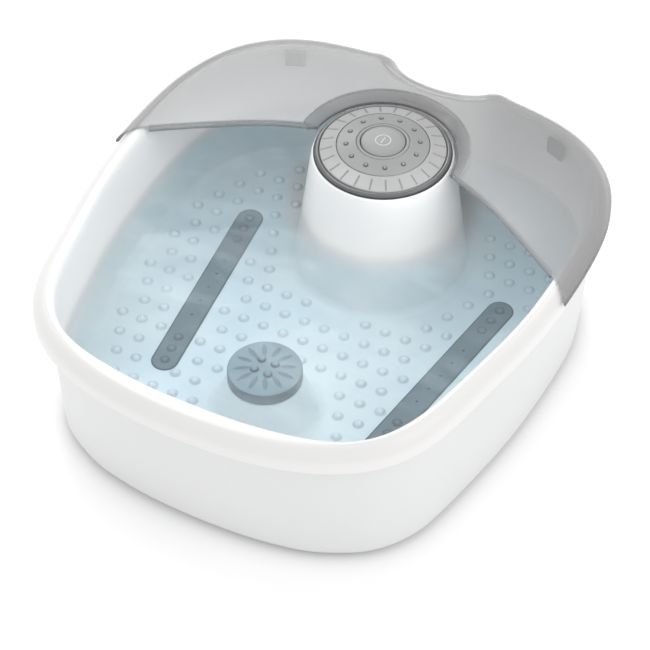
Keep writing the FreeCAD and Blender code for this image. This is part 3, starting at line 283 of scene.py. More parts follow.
def arc_profile(points, sub=4):
    """Catmull-Rom through (r, z) points."""
    P = [np.array(p, float) for p in points]
    P = [2 * P[0] - P[1]] + P + [2 * P[-1] - P[-2]]
    out = []
    for i in range(1, len(P) - 2):
        p0, p1, p2, p3 = P[i - 1:i + 3]
        for s in range(sub):
            t = s / sub
            q = 0.5 * ((2 * p1) + (p2 - p0) * t + (2 * p0 - 5 * p1 + 4 * p2 - p3) * t * t
                       + (3 * p1 - p0 - 3 * p2 + p3) * t ** 3)
            out.append((max(0.0, float(q[0])), float(q[1])))
    out.append((float(P[-2][0]), float(P[-2][1])))
    return out


# ---------------------------------------------------------------- materials
def new_mat(name):
    m = bpy.data.materials.new(name)
    m.use_nodes = True
    nt = m.node_tree
    bsdf = nt.nodes["Principled BSDF"]
    return m, nt, bsdf


def noise(nt, scale, detail=2.0, rough=0.5, stretch=None):
    tc = nt.nodes.new("ShaderNodeTexCoord")
    n = nt.nodes.new("ShaderNodeTexNoise")
    n.inputs["Scale"].default_value = scale
    n.inputs["Detail"].default_value = detail
    n.inputs["Roughness"].default_value = rough
    if stretch:
        mp = nt.nodes.new("ShaderNodeMapping")
        mp.inputs["Scale"].default_value = stretch
        nt.links.new(tc.outputs["Object"], mp.inputs["Vector"])
        nt.links.new(mp.outputs["Vector"], n.inputs["Vector"])
    else:
        nt.links.new(tc.outputs["Object"], n.inputs["Vector"])
    return n


def ramp(nt, source, a, b, lo=0.35, hi=0.65):
    r = nt.nodes.new("ShaderNodeValToRGB")
    r.color_ramp.elements[0].position = lo
    r.color_ramp.elements[0].color = a
    r.color_ramp.elements[1].position = hi
    r.color_ramp.elements[1].color = b
    nt.links.new(source, r.inputs["Fac"])
    return r


def grey(v):
    return (v, v, v, 1.0)


def shade(c, f):
    return (min(1.0, c[0] * f), min(1.0, c[1] * f), min(1.0, c[2] * f), 1.0)


def moulded(name, color, rough=0.35, vary=0.03, grain=1200.0, bump=0.03, coat=0.0, broad=6.0, spread=0.05,
            metallic=0.0, spec=None, sheen=0.0):
    """Moulded plastic, rubber or plated metal: broad tone drift, fine grain, uneven gloss."""
    m, nt, b = new_mat(name)
    n1 = noise(nt, broad, 3.0)
    c = ramp(nt, n1.outputs["Fac"], shade(color, 1 - vary), shade(color, 1 + vary))
    nt.links.new(c.outputs["Color"], b.inputs["Base Color"])
    n2 = noise(nt, grain, 2.0)
    rr = ramp(nt, n2.outputs["Fac"], grey(max(0.0, rough - spread)), grey(min(1.0, rough + spread)))
    nt.links.new(rr.outputs["Color"], b.inputs["Roughness"])
    bp = nt.nodes.new("ShaderNodeBump")
    bp.inputs["Strength"].default_value = bump
    bp.inputs["Distance"].default_value = 0.0003
    nt.links.new(n2.outputs["Fac"], bp.inputs["Height"])
    nt.links.new(bp.outputs["Normal"], b.inputs["Normal"])
    b.inputs["Metallic"].default_value = metallic
    if coat:
        b.inputs["Coat Weight"].default_value = coat
        b.inputs["Coat Roughness"].default_value = 0.12
    if spec is not None:
        b.inputs["Specular IOR Level"].default_value = spec
    if sheen:
        b.inputs["Sheen Weight"].default_value = sheen
    return m


def brushed(name, color, rough=0.3, stretch=(1.0, 1.0, 40.0)):
    m, nt, b = new_mat(name)
    n1 = noise(nt, 90.0, 4.0, 0.6, stretch)
    c = ramp(nt, n1.outputs["Fac"], shade(color, 0.88), shade(color, 1.06))
    nt.links.new(c.outputs["Color"], b.inputs["Base Color"])
    rr = ramp(nt, n1.outputs["Fac"], grey(rough - 0.08), grey(rough + 0.1))
    nt.links.new(rr.outputs["Color"], b.inputs["Roughness"])
    b.inputs["Metallic"].default_value = 1.0
    return m


MAT = {
    "basin": moulded("white_moulding", (0.875, 0.868, 0.862), 0.33, 0.012, 900.0, 0.02, coat=0.12, broad=4.0),
    "casing": moulded("white_casing", (0.80, 0.803, 0.808), 0.38, 0.012, 900.0, 0.02, coat=0.08, broad=4.0),
    "strip": moulded("strip_grey", (0.135, 0.160, 0.175), 0.42, 0.05, 1500.0, 0.05, broad=40.0),
    "disc": moulded("disc_grey", (0.30, 0.345, 0.365), 0.42, 0.05, 1500.0, 0.05, broad=40.0),
    "dial": moulded("dial_grey", (0.415, 0.417, 0.42), 0.26, 0.03, 2600.0, 0.05, broad=30.0),
    "trim": moulded("trim_grey", (0.315, 0.317, 0.32), 0.28, 0.03, 2600.0, 0.05, broad=30.0),
    "button": moulded("button_grey", (0.305, 0.307, 0.31), 0.28, 0.03, 2600.0, 0.05, broad=30.0),
    "icon": moulded("icon_grey", (0.66, 0.662, 0.665), 0.3, 0.02, 2600.0, 0.03, broad=30.0),
    "bezel": moulded("bezel_smoke", (0.11, 0.112, 0.115), 0.12, 0.03, 2600.0, 0.01, coat=0.6, broad=30.0),
    # painted shade for the strips' air holes
    "hole": moulded("air_hole_painted_shade", (0.01, 0.012, 0.014), 0.7, 0.1, 900.0, 0.02, broad=60.0),
    "rubber": moulded("foot_rubber", (0.025, 0.025, 0.027), 0.62, 0.10, 900.0, 0.15, broad=60.0),
    "seal": moulded("seal_rubber", (0.035, 0.045, 0.052), 0.55, 0.10, 900.0, 0.1, broad=60.0),
}
GENERIC = {
    "casing_screws": brushed("screw_zinc", (0.62, 0.62, 0.63)),
    "dial_bushing": moulded("bushing_acetal", (0.80, 0.80, 0.76), 0.4),
    "dial_seal": MAT["seal"],
    "contact_disc": brushed("contact_brass", (0.80, 0.58, 0.25), 0.25),
    "button_spring": brushed("spring_wire", (0.66, 0.66, 0.67), 0.22),
    "switch_carrier": moulded("carrier_natural", (0.62, 0.62, 0.60), 0.5),
    "carrier_screws": brushed("carrier_screw_zinc", (0.62, 0.62, 0.63)),
    "selector_board": moulded("board_green", (0.03, 0.20, 0.08), 0.35, 0.15, 500.0, 0.05, coat=0.3, broad=200.0),
    "push_switch": moulded("switch_black", (0.02, 0.02, 0.022), 0.3),
    "main_board": moulded("mainboard_green", (0.03, 0.20, 0.08), 0.35, 0.15, 500.0, 0.05, coat=0.3, broad=200.0),
    "board_components": moulded("component_black", (0.02, 0.02, 0.022), 0.35),
    "transformer": brushed("transformer_iron", (0.22, 0.20, 0.18), 0.45),
    "terminal_block": moulded("terminal_natural", (0.74, 0.74, 0.70), 0.5),
    "pump_housing": moulded("pump_black", (0.03, 0.03, 0.032), 0.45, 0.1),
    "pump_cover": moulded("pump_cover_black", (0.03, 0.03, 0.032), 0.45, 0.1),
    "pump_motor": brushed("pump_motor_can", (0.60, 0.60, 0.61)),
    "impeller": moulded("fan_white", (0.78, 0.78, 0.76), 0.4),
    "pump_shaft": brushed("pump_shaft_steel", (0.70, 0.70, 0.71), 0.2),
    "air_manifold": moulded("manifold_black", (0.03, 0.03, 0.032), 0.45, 0.1),
    "air_hose_right": moulded("hose_grey_right", (0.42, 0.43, 0.42), 0.5),
    "air_hose_left": moulded("hose_grey_left", (0.42, 0.43, 0.42), 0.5),
    "hose_clips": brushed("clip_steel", (0.64, 0.64, 0.65)),
    "vibration_motor": brushed("vibration_motor_can", (0.60, 0.60, 0.61)),
    "motor_bracket": brushed("bracket_galvanised", (0.58, 0.58, 0.59), 0.4),
    "bracket_screws": brushed("bracket_screw_zinc", (0.62, 0.62, 0.63)),
    "vibration_shaft": brushed("vibration_shaft_steel", (0.70, 0.70, 0.71), 0.2),
    "eccentric_weight": brushed("weight_brass", (0.75, 0.55, 0.25), 0.3),
    "heater_plate": brushed("heater_foil", (0.78, 0.78, 0.79), 0.35),
    "thermostat": brushed("thermostat_can", (0.70, 0.70, 0.70)),
    "thermal_fuse": moulded("fuse_ceramic", (0.84, 0.83, 0.78), 0.6),
    "rubber_feet": MAT["rubber"],
    "cord_gland": moulded("gland_rubber", (0.03, 0.03, 0.032), 0.6, 0.1),
    "basin": MAT["basin"], "outer_casing": MAT["casing"], "strip_seals": MAT["seal"],
    "massage_strip_right": MAT["strip"], "massage_strip_left": MAT["strip"],
    "selector_dial": MAT["dial"], "dial_trim_disc": MAT["trim"], "dial_bezel": MAT["bezel"],
    "power_button": MAT["button"], "massage_disc": MAT["disc"],
}


def guard_material():
    """Smoke-tinted clear plastic: the tint is alpha, deeper where the sheet is seen edge-on; a per-vertex value paints
    shade along the sheet's edges, darker and more opaque.
    """
    m, nt, b = new_mat("guard_smoke")
    n1 = noise(nt, 5.0, 3.0)
    c = ramp(nt, n1.outputs["Fac"], (0.425, 0.428, 0.43, 1), (0.455, 0.458, 0.46, 1))
    painted_edge_shade = nt.nodes.new("ShaderNodeAttribute")
    painted_edge_shade.attribute_name = "painted_shade"
    lw = nt.nodes.new("ShaderNodeLayerWeight")
    lw.inputs["Blend"].default_value = 0.5
    # painted shade: the colour goes dark along the sheet's marked edges
    mx = nt.nodes.new("ShaderNodeMix")
    mx.data_type = "RGBA"
    nt.links.new(painted_edge_shade.outputs["Fac"], mx.inputs[0])
    nt.links.new(c.outputs["Color"], mx.inputs[6])
    mx.inputs[7].default_value = (0.10, 0.102, 0.105, 1)
    nt.links.new(mx.outputs[2], b.inputs["Base Color"])
    n2 = noise(nt, 700.0, 2.0)
    rr = ramp(nt, n2.outputs["Fac"], grey(0.12), grey(0.18))
    nt.links.new(rr.outputs["Color"], b.inputs["Roughness"])
    bp = nt.nodes.new("ShaderNodeBump")
    bp.inputs["Strength"].default_value = 0.01
    bp.inputs["Distance"].default_value = 0.0003
    nt.links.new(n2.outputs["Fac"], bp.inputs["Height"])
    nt.links.new(bp.outputs["Normal"], b.inputs["Normal"])
    al = nt.nodes.new("ShaderNodeMapRange")
    al.inputs["From Min"].default_value = 0.30
    al.inputs["From Max"].default_value = 0.95
    al.inputs["To Min"].default_value = 0.40
    al.inputs["To Max"].default_value = 0.88
    nt.links.new(lw.outputs["Facing"], al.inputs["Value"])
    amax = nt.nodes.new("ShaderNodeMath")
    amax.operation = "MAXIMUM"
    nt.links.new(al.outputs["Result"], amax.inputs[0])
    nt.links.new(painted_edge_shade.outputs["Fac"], amax.inputs[1])
    nt.links.new(amax.outputs["Value"], b.inputs["Alpha"])
    b.inputs["Coat Weight"].default_value = 0.4
    b.inputs["Coat Roughness"].default_value = 0.08
    m.surface_render_method = "BLENDED"
    return m


def painted_shade(m, tint):
    """Painted shade: a darker tone where the mesh's per-vertex shade value marks corners, grooves, feet of bumps and
    shaded sides.
    """
    nt = m.node_tree
    b = nt.nodes["Principled BSDF"]
    src = b.inputs["Base Color"].links[0].from_socket
    at = nt.nodes.new("ShaderNodeAttribute")
    at.attribute_name = "painted_shade"
    mx = nt.nodes.new("ShaderNodeMix")
    mx.data_type = "RGBA"
    nt.links.new(at.outputs["Fac"], mx.inputs[0])
    nt.links.new(src, mx.inputs[6])
    mx.inputs[7].default_value = tint
    nt.links.new(mx.outputs[2], b.inputs["Base Color"])


# painted shade colours for the marked corners, grooves, feet and shaded sides
painted_shade(MAT["basin"], (0.60, 0.62, 0.635, 1.0))
painted_shade(MAT["strip"], (0.035, 0.045, 0.052, 1.0))
painted_shade(MAT["disc"], (0.030, 0.040, 0.047, 1.0))
painted_shade(MAT["trim"], (0.05, 0.05, 0.052, 1.0))
painted_shade(MAT["dial"], (0.12, 0.12, 0.125, 1.0))
MAT["lug"] = moulded("guard_lug", (0.11, 0.112, 0.115), 0.25, 0.03, 900.0, 0.02, coat=0.2, broad=30.0)
MAT["guard"] = guard_material()
GENERIC["splash_guard"] = MAT["guard"]
for name, ob in NODES.items():
    ob.data.materials.clear()
    ob.data.materials.append(GENERIC.get(name, MAT["casing"]))
    ob.data.shade_smooth()
    try:
        ob.data.set_sharp_from_angle(angle=math.radians(32))
    except AttributeError:
        pass


# ------------------------------------------------------------- basin moulding
def between(p, q, u):
    return p + (q - p) * u


def wall_at(z):
    zt, zb = ZC - 8.5, ZF + 10.0
    return between(mouth, inset(floor, -2.5), (zt - z) / (zt - zb))


def tower_r(z):
    return 55.5 + 0.125 * (131.0 - z)


def basin():
    m = Mesh()
    # outside of the lip, up over the roll, down the inner wall to the floor
    lip = [ring(inset(rim, 0.5), ZL), ring(rim, ZL + 0.6), ring(rim, ZC - 14.0), ring(rim, ZC - 11.5)]
    roll = smooth_rings([ring(rim, ZC - 11.5), ring(inset(rim, 0.6), ZC - 9.0), ring(inset(rim, 2.2), ZC - 6.1),
                         ring(inset(rim, 4.6), ZC - 3.4), ring(inset(rim, 7.2), ZC - 1.2),
                         ring(inset(rim, 9.8), ZC), ring(between(inset(rim, 11.5), inset(mouth, -7.5), 0.5), ZC + 0.25),
                         ring(inset(mouth, -5.0), ZC - 0.05), ring(inset(mouth, -3.4), ZC - 0.8),
                         ring(inset(mouth, -1.8), ZC - 2.4), ring(inset(mouth, -0.6), ZC - 5.0),
                         ring(mouth, ZC - 8.5)], 4)
    wall = [ring(wall_at(z), z) for z in (ZC - 10, 110, 95, 80, 65, 50, 40, 34)]
    foot = smooth_rings([ring(wall_at(ZF + 10.0), ZF + 10.0), ring(inset(floor, -0.9), ZF + 4.2),
                         ring(inset(floor, 1.4), ZF + 1.3), ring(inset(floor, 4.5), ZF)], 4)
    edge = ring(inset(floor, 4.5), ZF)
    hub = np.array([0.0, HCY, ZF])
    plate = [hub + (edge - hub) * s for s in (0.92, 0.7, 0.45, 0.2)]
    under_hub = hub - np.array([0, 0, TW])
    ue = ring(inset(floor, 2.0), ZF - TW)
    plate_u = [under_hub + (ue - under_hub) * s for s in (0.2, 0.7)]
    out = [ue, ring(inset(floor, -1.4), ZF - 0.6), ring(inset(floor, -3.4), ZF + 3.4),
           ring(inset(wall_at(ZF + 10.0), -TW), ZF + 10.0), ring(inset(mouth, -TW), ZC - 8.5),
           ring(inset(mouth, -TW - 0.9), ZC - 5.0), ring(inset(mouth, -TW - 2.2), ZC - 3.4)]
    under = [ring(inset(rim, TW + 7.4), ZC - 3.4), ring(inset(rim, TW + 4.6), ZC - 5.2),
             ring(inset(rim, TW + 1.6), ZC - 8.4), ring(inset(rim, TW), ZC - 12.0),
             ring(inset(rim, TW), ZL + 0.6), ring(inset(rim, TW - 0.5), ZL)]
    m.skin(plate_u + out + under + lip + roll[1:] + wall + foot + plate, cap_start=True, cap_end=True)
    # control tower with a flared foot
    rb = tower_r(ZF)
    prof = [(0, ZF - 2)] + [(rb + 10, ZF - 2), (rb + 9.0, ZF + 0.02)]
    for k in range(1, 13):
        a = math.radians(90 * k / 12)
        prof.append((rb + 8.0 * (1 - math.sin(a)), ZF + 8.0 * (1 - math.cos(a))))
    prof += [(tower_r(z), z) for z in (60, 90, 110, 120, 127)]
    for k in range(0, 9):
        a = math.radians(90 * k / 8)
        prof.append((55.5 - 2.6 * (1 - math.cos(a)), 131.0 - 2.6 + 2.6 * math.sin(a)))
    prof += [(47.0, 131.0), (28.0, 131.0), (26.4, 130.4), (26.4, 126.0), (0, 126.0)]
    m.lathe(prof, 0, TY, 160, closed=False)
    # narrow web from the tower back to the rear wall, rounded along its top edges
    sect = [(34.0, ZF - 2.0)]
    for k in range(0, 9):
        a = math.radians(90 * k / 8)
        sect.append((26.0 + 6.0 * (1 - math.sin(a)), ZF + 6.0 * (1 - math.cos(a))))
    sect += [(25.4, 60.0), (24.8, 110.0)]
    for k in range(1, 9):
        a = math.radians(90 * k / 8)
        sect.append((24.7 - 5.0 * (1 - math.cos(a)), 113.0 + 5.0 * math.sin(a)))
    loop = sect + [(-x, z) for x, z in sect[::-1]]
    m.skin([np.array([(x, y, z) for x, z in loop]) for y in (TY + 30, TY + 50, TY + 65, TY + 76)],
           cap_start=True, cap_end=True)
    # pedestal for the disc
    r0, rt, zp = 39.0, 29.0, 54.4
    prof = [(0, ZF - 2), (r0 + 7, ZF - 2), (r0 + 6.6, ZF + 0.02), (r0 + 4.2, ZF + 0.35), (r0 + 2.2, ZF + 1.1),
            (r0 + 0.7, ZF + 2.3), (r0 - 0.4, ZF + 4.2)]
    prof += [(r0 - 0.4 + (rt + 0.5 - r0 + 0.4) * t, ZF + 4.2 + (zp - 1.6 - ZF - 4.2) * t) for t in (0.25, 0.5, 0.75, 1.0)]
    prof += [(rt + 0.1, zp - 0.8), (rt - 0.6, zp - 0.2), (rt - 1.6, zp), (10.0, zp), (10.0, zp + 5.2), (9.2, zp + 6.0),
             (0, zp + 6.0)]
    m.lathe(prof, 0, PY, 96, closed=False)
    # nubs: a staggered grid on the free floor
    field = inset(floor, 7.5)

    def inside(x, y):
        c = False
        for i in range(len(field)):
            (xa, ya), (xb, yb) = field[i - 1], field[i]
            if (ya > y) != (yb > y) and x < (xb - xa) * (y - ya) / (yb - ya) + xa:
                c = not c
        return c

    def strip_gap(x, y):
        best = 1e9
        for s in (1, -1):
            ax, ay, bx, by = s * 112.4, 93.0, s * 92.6, -76.5
            dx, dy = bx - ax, by - ay
            t = max(0.0, min(1.0, ((x - ax) * dx + (y - ay) * dy) / (dx * dx + dy * dy)))
            best = min(best, math.hypot(x - ax - t * dx, y - ay - t * dy))
        return best

    nub = [(5.6, -0.02), (4.6, 0.06), (3.9, 0.22), (3.4, 0.65), (3.0, 1.3), (2.45, 2.05), (1.6, 2.65), (0.8, 2.9), (0, 2.97)]
    # painted shade round each nub's foot, one value a profile ring
    nub_foot_shade = [0.0, 0.35, 0.85, 0.75, 0.40, 0.12, 0.0, 0.0, 0.0]
    for j in range(-12, 9):
        y = TY - 58.0 + 19.1 * j
        off = 0.0 if j % 2 == 0 else 0.5
        for k in range(-10, 11):
            x = 17.5 * (k + off)
            if not inside(x, y):
                continue
            if math.hypot(x, y - TY) < tower_r(ZF) + 10 or (abs(x) < 31 and y > TY):
                continue
            if math.hypot(x, y - PY) < r0 + 9 or strip_gap(x, y) < 15.5:
                continue
            dome(m, x, y, ZF, nub, 18, nub_foot_shade)
    # posts under the floor
    for px, py in ((138.0, -100.0), (146.0, 30.0), (96.0, 152.0), (52.0, -158.0)):
        for s in (1, -1):
            m.lathe([(0, 16.0), (1.5, 16.0), (1.5, 5.5), (4.5, 5.5), (4.5, ZF - 1.0), (0, ZF - 1.0)], s * px, py, 24,
                    closed=False)
    return m.build("basin_moulding", "tub", MAT["basin"], ("basin",), angle=38)


basin()


# ------------------------------------------------------------------ casing
def casing():
    m = Mesh()
    near_, far_ = inset(rim, 6.5), inset(rim, 10.1)
    a = np.degrees(np.arctan2(near_[:, 1] - HCY, np.abs(near_[:, 0])))
    u = np.clip((-12.0 - a) / 30.0, 0, 1)
    u = (u * u * (3 - 2 * u))[:, None]
    top = near_ + (far_ - near_) * u
    zb, zt = 3.0, 119.0
    outer = smooth_rings([ring(inset(base, 5.0), zb), ring(inset(base, 1.9), zb + 0.5), ring(inset(base, 0.5), zb + 2.0),
                          ring(between(base, top, 0.03), zb + 4.5), ring(between(base, top, 0.08), zb + 9.3)], 4)
    sides = [ring(between(base, top, (z - zb) / (zt - zb)), z) for z in (25, 45, 65, 85, 105, zt)]
    inner = [ring(inset(top, 2.5), zt), ring(inset(between(base, top, 0.5), 2.5), 61.0),
             ring(inset(between(base, top, 0.06), 2.5), zb + 5.5), ring(inset(base, 5.0), zb + 2.5)]
    hub = np.array([0.0, HCY, zb])
    e0, e1 = outer[0], inner[-1]
    up = np.array([0, 0, 2.5])
    low = [hub + (e0 - hub) * q for q in (0.1, 0.4, 0.75)]
    high = [hub + up + (e1 - hub - up) * q for q in (0.75, 0.4, 0.1)]
    m.skin(low + outer + sides + inner + high, cap_start=True, cap_end=True)
    # intake louvres under the tower
    for k in range(-3, 4):
        x, y = k * 6.0, TY + 58.0
        loop = [(x - 1.6, y - 10, 2.4), (x + 1.6, y - 10, 2.4), (x + 1.6, y + 10, 2.4), (x - 1.6, y + 10, 2.4)]
        lift = [(px, py, 3.4) for px, py, _ in loop]
        m.skin([np.array(loop), np.array(lift)], cap_start=True, cap_end=True)
    return m.build("casing_shell", "tub", MAT["casing"], ("outer_casing",), angle=35)


casing()

# ------------------------------------------------------------ splash guard
EDGE = [(57.0, 3.0), (59.5, 0.0), (65.0, -3.5), (77.0, -8.0), (92.0, -14.5), (107.0, -22.5), (121.0, -31.0),
        (136.0, -40.5), (152.0, -51.0), (168.0, -62.0), (183.0, -73.0), (200.0, -87.0)]
EDGE = [np.array([x, y + TY]) for x, y in EDGE]


def catmull(points, sub=12):
    P = [2 * points[0] - points[1]] + list(points) + [2 * points[-1] - points[-2]]
    out = []
    for i in range(1, len(P) - 2):
        p0, p1, p2, p3 = P[i - 1:i + 3]
        for k in range(sub):
            t = k / sub
            out.append(0.5 * ((2 * p1) + (p2 - p0) * t + (2 * p0 - 5 * p1 + 4 * p2 - p3) * t * t
                              + (3 * p1 - p0 - 3 * p2 + p3) * t ** 3))
    out.append(P[-2])
    return np.array(out)


CURVE = catmull(EDGE)
ZG, ZK, GT = 137.2, 124.0, 2.3


def resample(poly, n):
    poly = np.asarray(poly, float)
    d = np.concatenate([[0], np.cumsum(np.sqrt(((poly[1:] - poly[:-1]) ** 2).sum(1)))])
    t = np.linspace(0, d[-1], n)
    return np.column_stack([np.interp(t, d, poly[:, 0]), np.interp(t, d, poly[:, 1])])


def right_half(d, n):
    """The outline inset by d from where it crosses the front edge to the rear's middle."""
    o = dense(inset(guard_out, d)) if abs(d) > 1e-9 else dense(guard_out)
    half = o[:SAMPLES // 2 + 1]
    g = half[:, 1] - np.interp(half[:, 0], CURVE[:, 0], CURVE[:, 1])
    k = max(i for i in range(len(half)) if g[i] < 0 and half[i, 0] > 60)
    t = g[k] / (g[k] - g[k + 1])
    start = half[k] + (half[k + 1] - half[k]) * t
    rear = half[k + 1:]
    rest = [start] + [q for q in rear if q[0] > 0.5]
    rest.append(np.array([0.0, float(rear[np.argmin(np.abs(rear[:, 0])), 1])]))
    return resample(rest, n)


def guard():
    half = 230
    outer = [(0.4, ZK), (0.0, ZK + 0.5), (0.0, ZG - 12.0), (0.35, ZG - 10.4), (1.2, ZG - 8.9), (2.8, ZG - 6.9),
             (4.8, ZG - 4.9), (7.0, ZG - 3.0), (9.5, ZG - 1.5), (12.2, ZG - 0.5), (15.0, ZG)]
    inner = [(GT - 0.4, ZK), (GT, ZK + 0.5), (GT, ZG - 12.4), (GT + 0.4, ZG - 11.2), (GT + 1.5, ZG - 9.4),
             (GT + 2.9, ZG - 7.6), (GT + 4.6, ZG - 6.0), (GT + 6.6, ZG - 4.6), (GT + 8.8, ZG - 3.4),
             (GT + 11.2, ZG - 2.7), (GT + 13.5, ZG - GT)]
    ro = 67.6

    def face(rows):
        grid = [np.column_stack([right_half(d, half), np.full(half, z)]) for d, z in rows]
        start = grid[-1][0, :2]
        cv = CURVE[(CURVE[:, 0] < start[0]) & (np.hypot(CURVE[:, 0], CURVE[:, 1] - TY) > ro)][::-1]
        a0 = math.atan2(cv[-1][1] - TY, cv[-1][0])
        arc = [np.array([ro * math.cos(a), TY + ro * math.sin(a)]) for a in np.linspace(a0, math.pi / 2, 60)]
        bound = resample([start] + list(cv) + arc, half)
        bound[-1] = (0.0, TY + ro)
        last = grid[-1]
        z = rows[-1][1]
        for q in np.linspace(0, 1, 13)[1:]:
            p = last[:, :2] + (bound - last[:, :2]) * q
            grid.append(np.column_stack([p, np.full(half, z)]))
        return grid

    go, gi = face(outer), face(inner)
    loops = []
    for c in range(half):
        loops.append(np.array([row[c] for row in go] + [row[c] for row in gi[::-1]]))
    left = [lp * np.array([-1.0, 1.0, 1.0]) for lp in loops[:-1]][::-1]
    m = Mesh()
    rows = len(go)
    # painted shade along the front cut edge: darker, more opaque tint
    front_edge_shade = np.zeros(2 * rows)
    front_edge_shade[:4] = (0.9, 0.9, 0.85, 0.5)
    front_edge_shade[-4:] = (0.5, 0.85, 0.9, 0.9)
    m.skin(loops + left, cap_start=True, cap_end=True, shade=front_edge_shade)
    # collar sloping down round the dial, with painted shade along its inner lower edge
    prof = [(57.7, ZG - 7.4), (58.9, ZG - 7.4), (63.4, ZG - 5.6), (67.8, ZG - GT), (68.3, ZG - GT + 0.2),
            (68.5, ZG - 0.4), (68.2, ZG + 0.0), (66.6, ZG - 0.25), (64.8, ZG - 1.2), (58.4, ZG - 4.7), (57.7, ZG - 5.2)]
    a0 = math.radians(-3.0)
    sweep = []
    for a in np.linspace(a0, math.pi - a0, 180):
        past = max(0.0, -a, a - math.pi) / math.radians(3.08)
        near = 57.7 + min(1.0, past * 4) * 1.8 + past * 5.6 if past > 0 else 57.7
        sweep.append(np.array([(max(r, near) * math.cos(a), TY + max(r, near) * math.sin(a), z) for r, z in prof]))
    m.skin(sweep, cap_start=True, cap_end=True, shade=[0.85, 0.6, 0.22, 0.1, 0.05, 0.1, 0.12, 0.15, 0.2, 0.45, 0.85])
    # front flange hanging from the edge, inside the mouth, with painted shade along its foot
    mo = dense(inset(mouth, 1.4))
    rad = np.hypot(mo[:, 0], mo[:, 1] - HCY)
    ang = np.arctan2(mo[:, 1] - HCY, mo[:, 0])
    keep = np.argsort(ang)

    def in_mouth(p):
        return math.hypot(p[0], p[1] - HCY) < np.interp(math.atan2(p[1] - HCY, p[0]), ang[keep], rad[keep])

    run = [p for p in CURVE if in_mouth(p) and math.hypot(p[0], p[1] - TY) > 57.9]
    run = resample(run, 90)
    lugs = Mesh()
    for side in (1, -1):
        sweep = []
        for k, p in enumerate(run):
            q = run[min(k + 1, len(run) - 1)] - run[max(k - 1, 0)]
            q = q / np.hypot(*q)
            nrm = np.array([-q[1], q[0]])
            if nrm[1] < 0:
                nrm = -nrm
            sect = [(0.3, -0.6), (0.0, -1.2), (0.0, -6.6), (0.5, -7.1), (1.6, -7.1), (2.1, -6.6), (2.1, -1.0), (1.8, -0.6)]
            drop = max(0.0, min(5.0, (67.6 - math.hypot(p[0], p[1] - TY)) * 0.5))
            sweep.append(np.array([(side * (p[0] + nrm[0] * u), p[1] + nrm[1] * u, ZG + (w if w < -6 else w - drop))
                                   for u, w in sect]))
        m.skin(sweep, cap_start=True, cap_end=True, shade=[0.1, 0.05, 0.25, 0.9, 0.9, 0.5, 0.1, 0.2])
        # locating lug
        lug = []
        for z, e in ((-16.5, 0.8), (-15.9, 0.1), (-15.0, 0.0), (-2.4, 0.0)):
            pts = []
            for x, y in ((-8 + e, -2 + e), (8 - e, -2 + e), (8 - e, 2 - e), (-8 + e, 2 - e)):
                t = math.radians(-24.0 * side)
                pts.append((side * 115.0 + x * math.cos(t) - y * math.sin(t),
                            TY + 69.5 + x * math.sin(t) + y * math.cos(t), ZG + z))
            lug.append(np.array(pts))
        lugs.skin(lug, cap_start=True, cap_end=True)
    lugs.build("guard_lugs", "guard", MAT["lug"], (), angle=35)
    return m.build("guard_shell", "guard", MAT["guard"], ("splash_guard",), angle=45)


guard()


# ------------------------------------------------------------------- dial
def polar_rows(m, prof, cx, cy, seg, fn=None, closed=False, tone=None):
    """A lathe whose rows can be lifted by fn(r, z, angle), with a painted-shade value from tone."""
    rings = []
    for r, z in prof:
        row = []
        for j in range(seg):
            a = 2 * math.pi * j / seg
            dz = fn(r, z, a) if fn else 0.0
            row.append((cx + r * math.cos(a), cy + r * math.sin(a), z + dz))
        rings.append(np.array(row))
    m.skin(rings, closed=closed)
    if tone:
        m.shade[-1] = np.array([tone(r, z, 2 * math.pi * j / seg) for r, z in prof for j in range(seg)])


def sstep(x):
    x = max(0.0, min(1.0, x))
    return x * x * (3 - 2 * x)


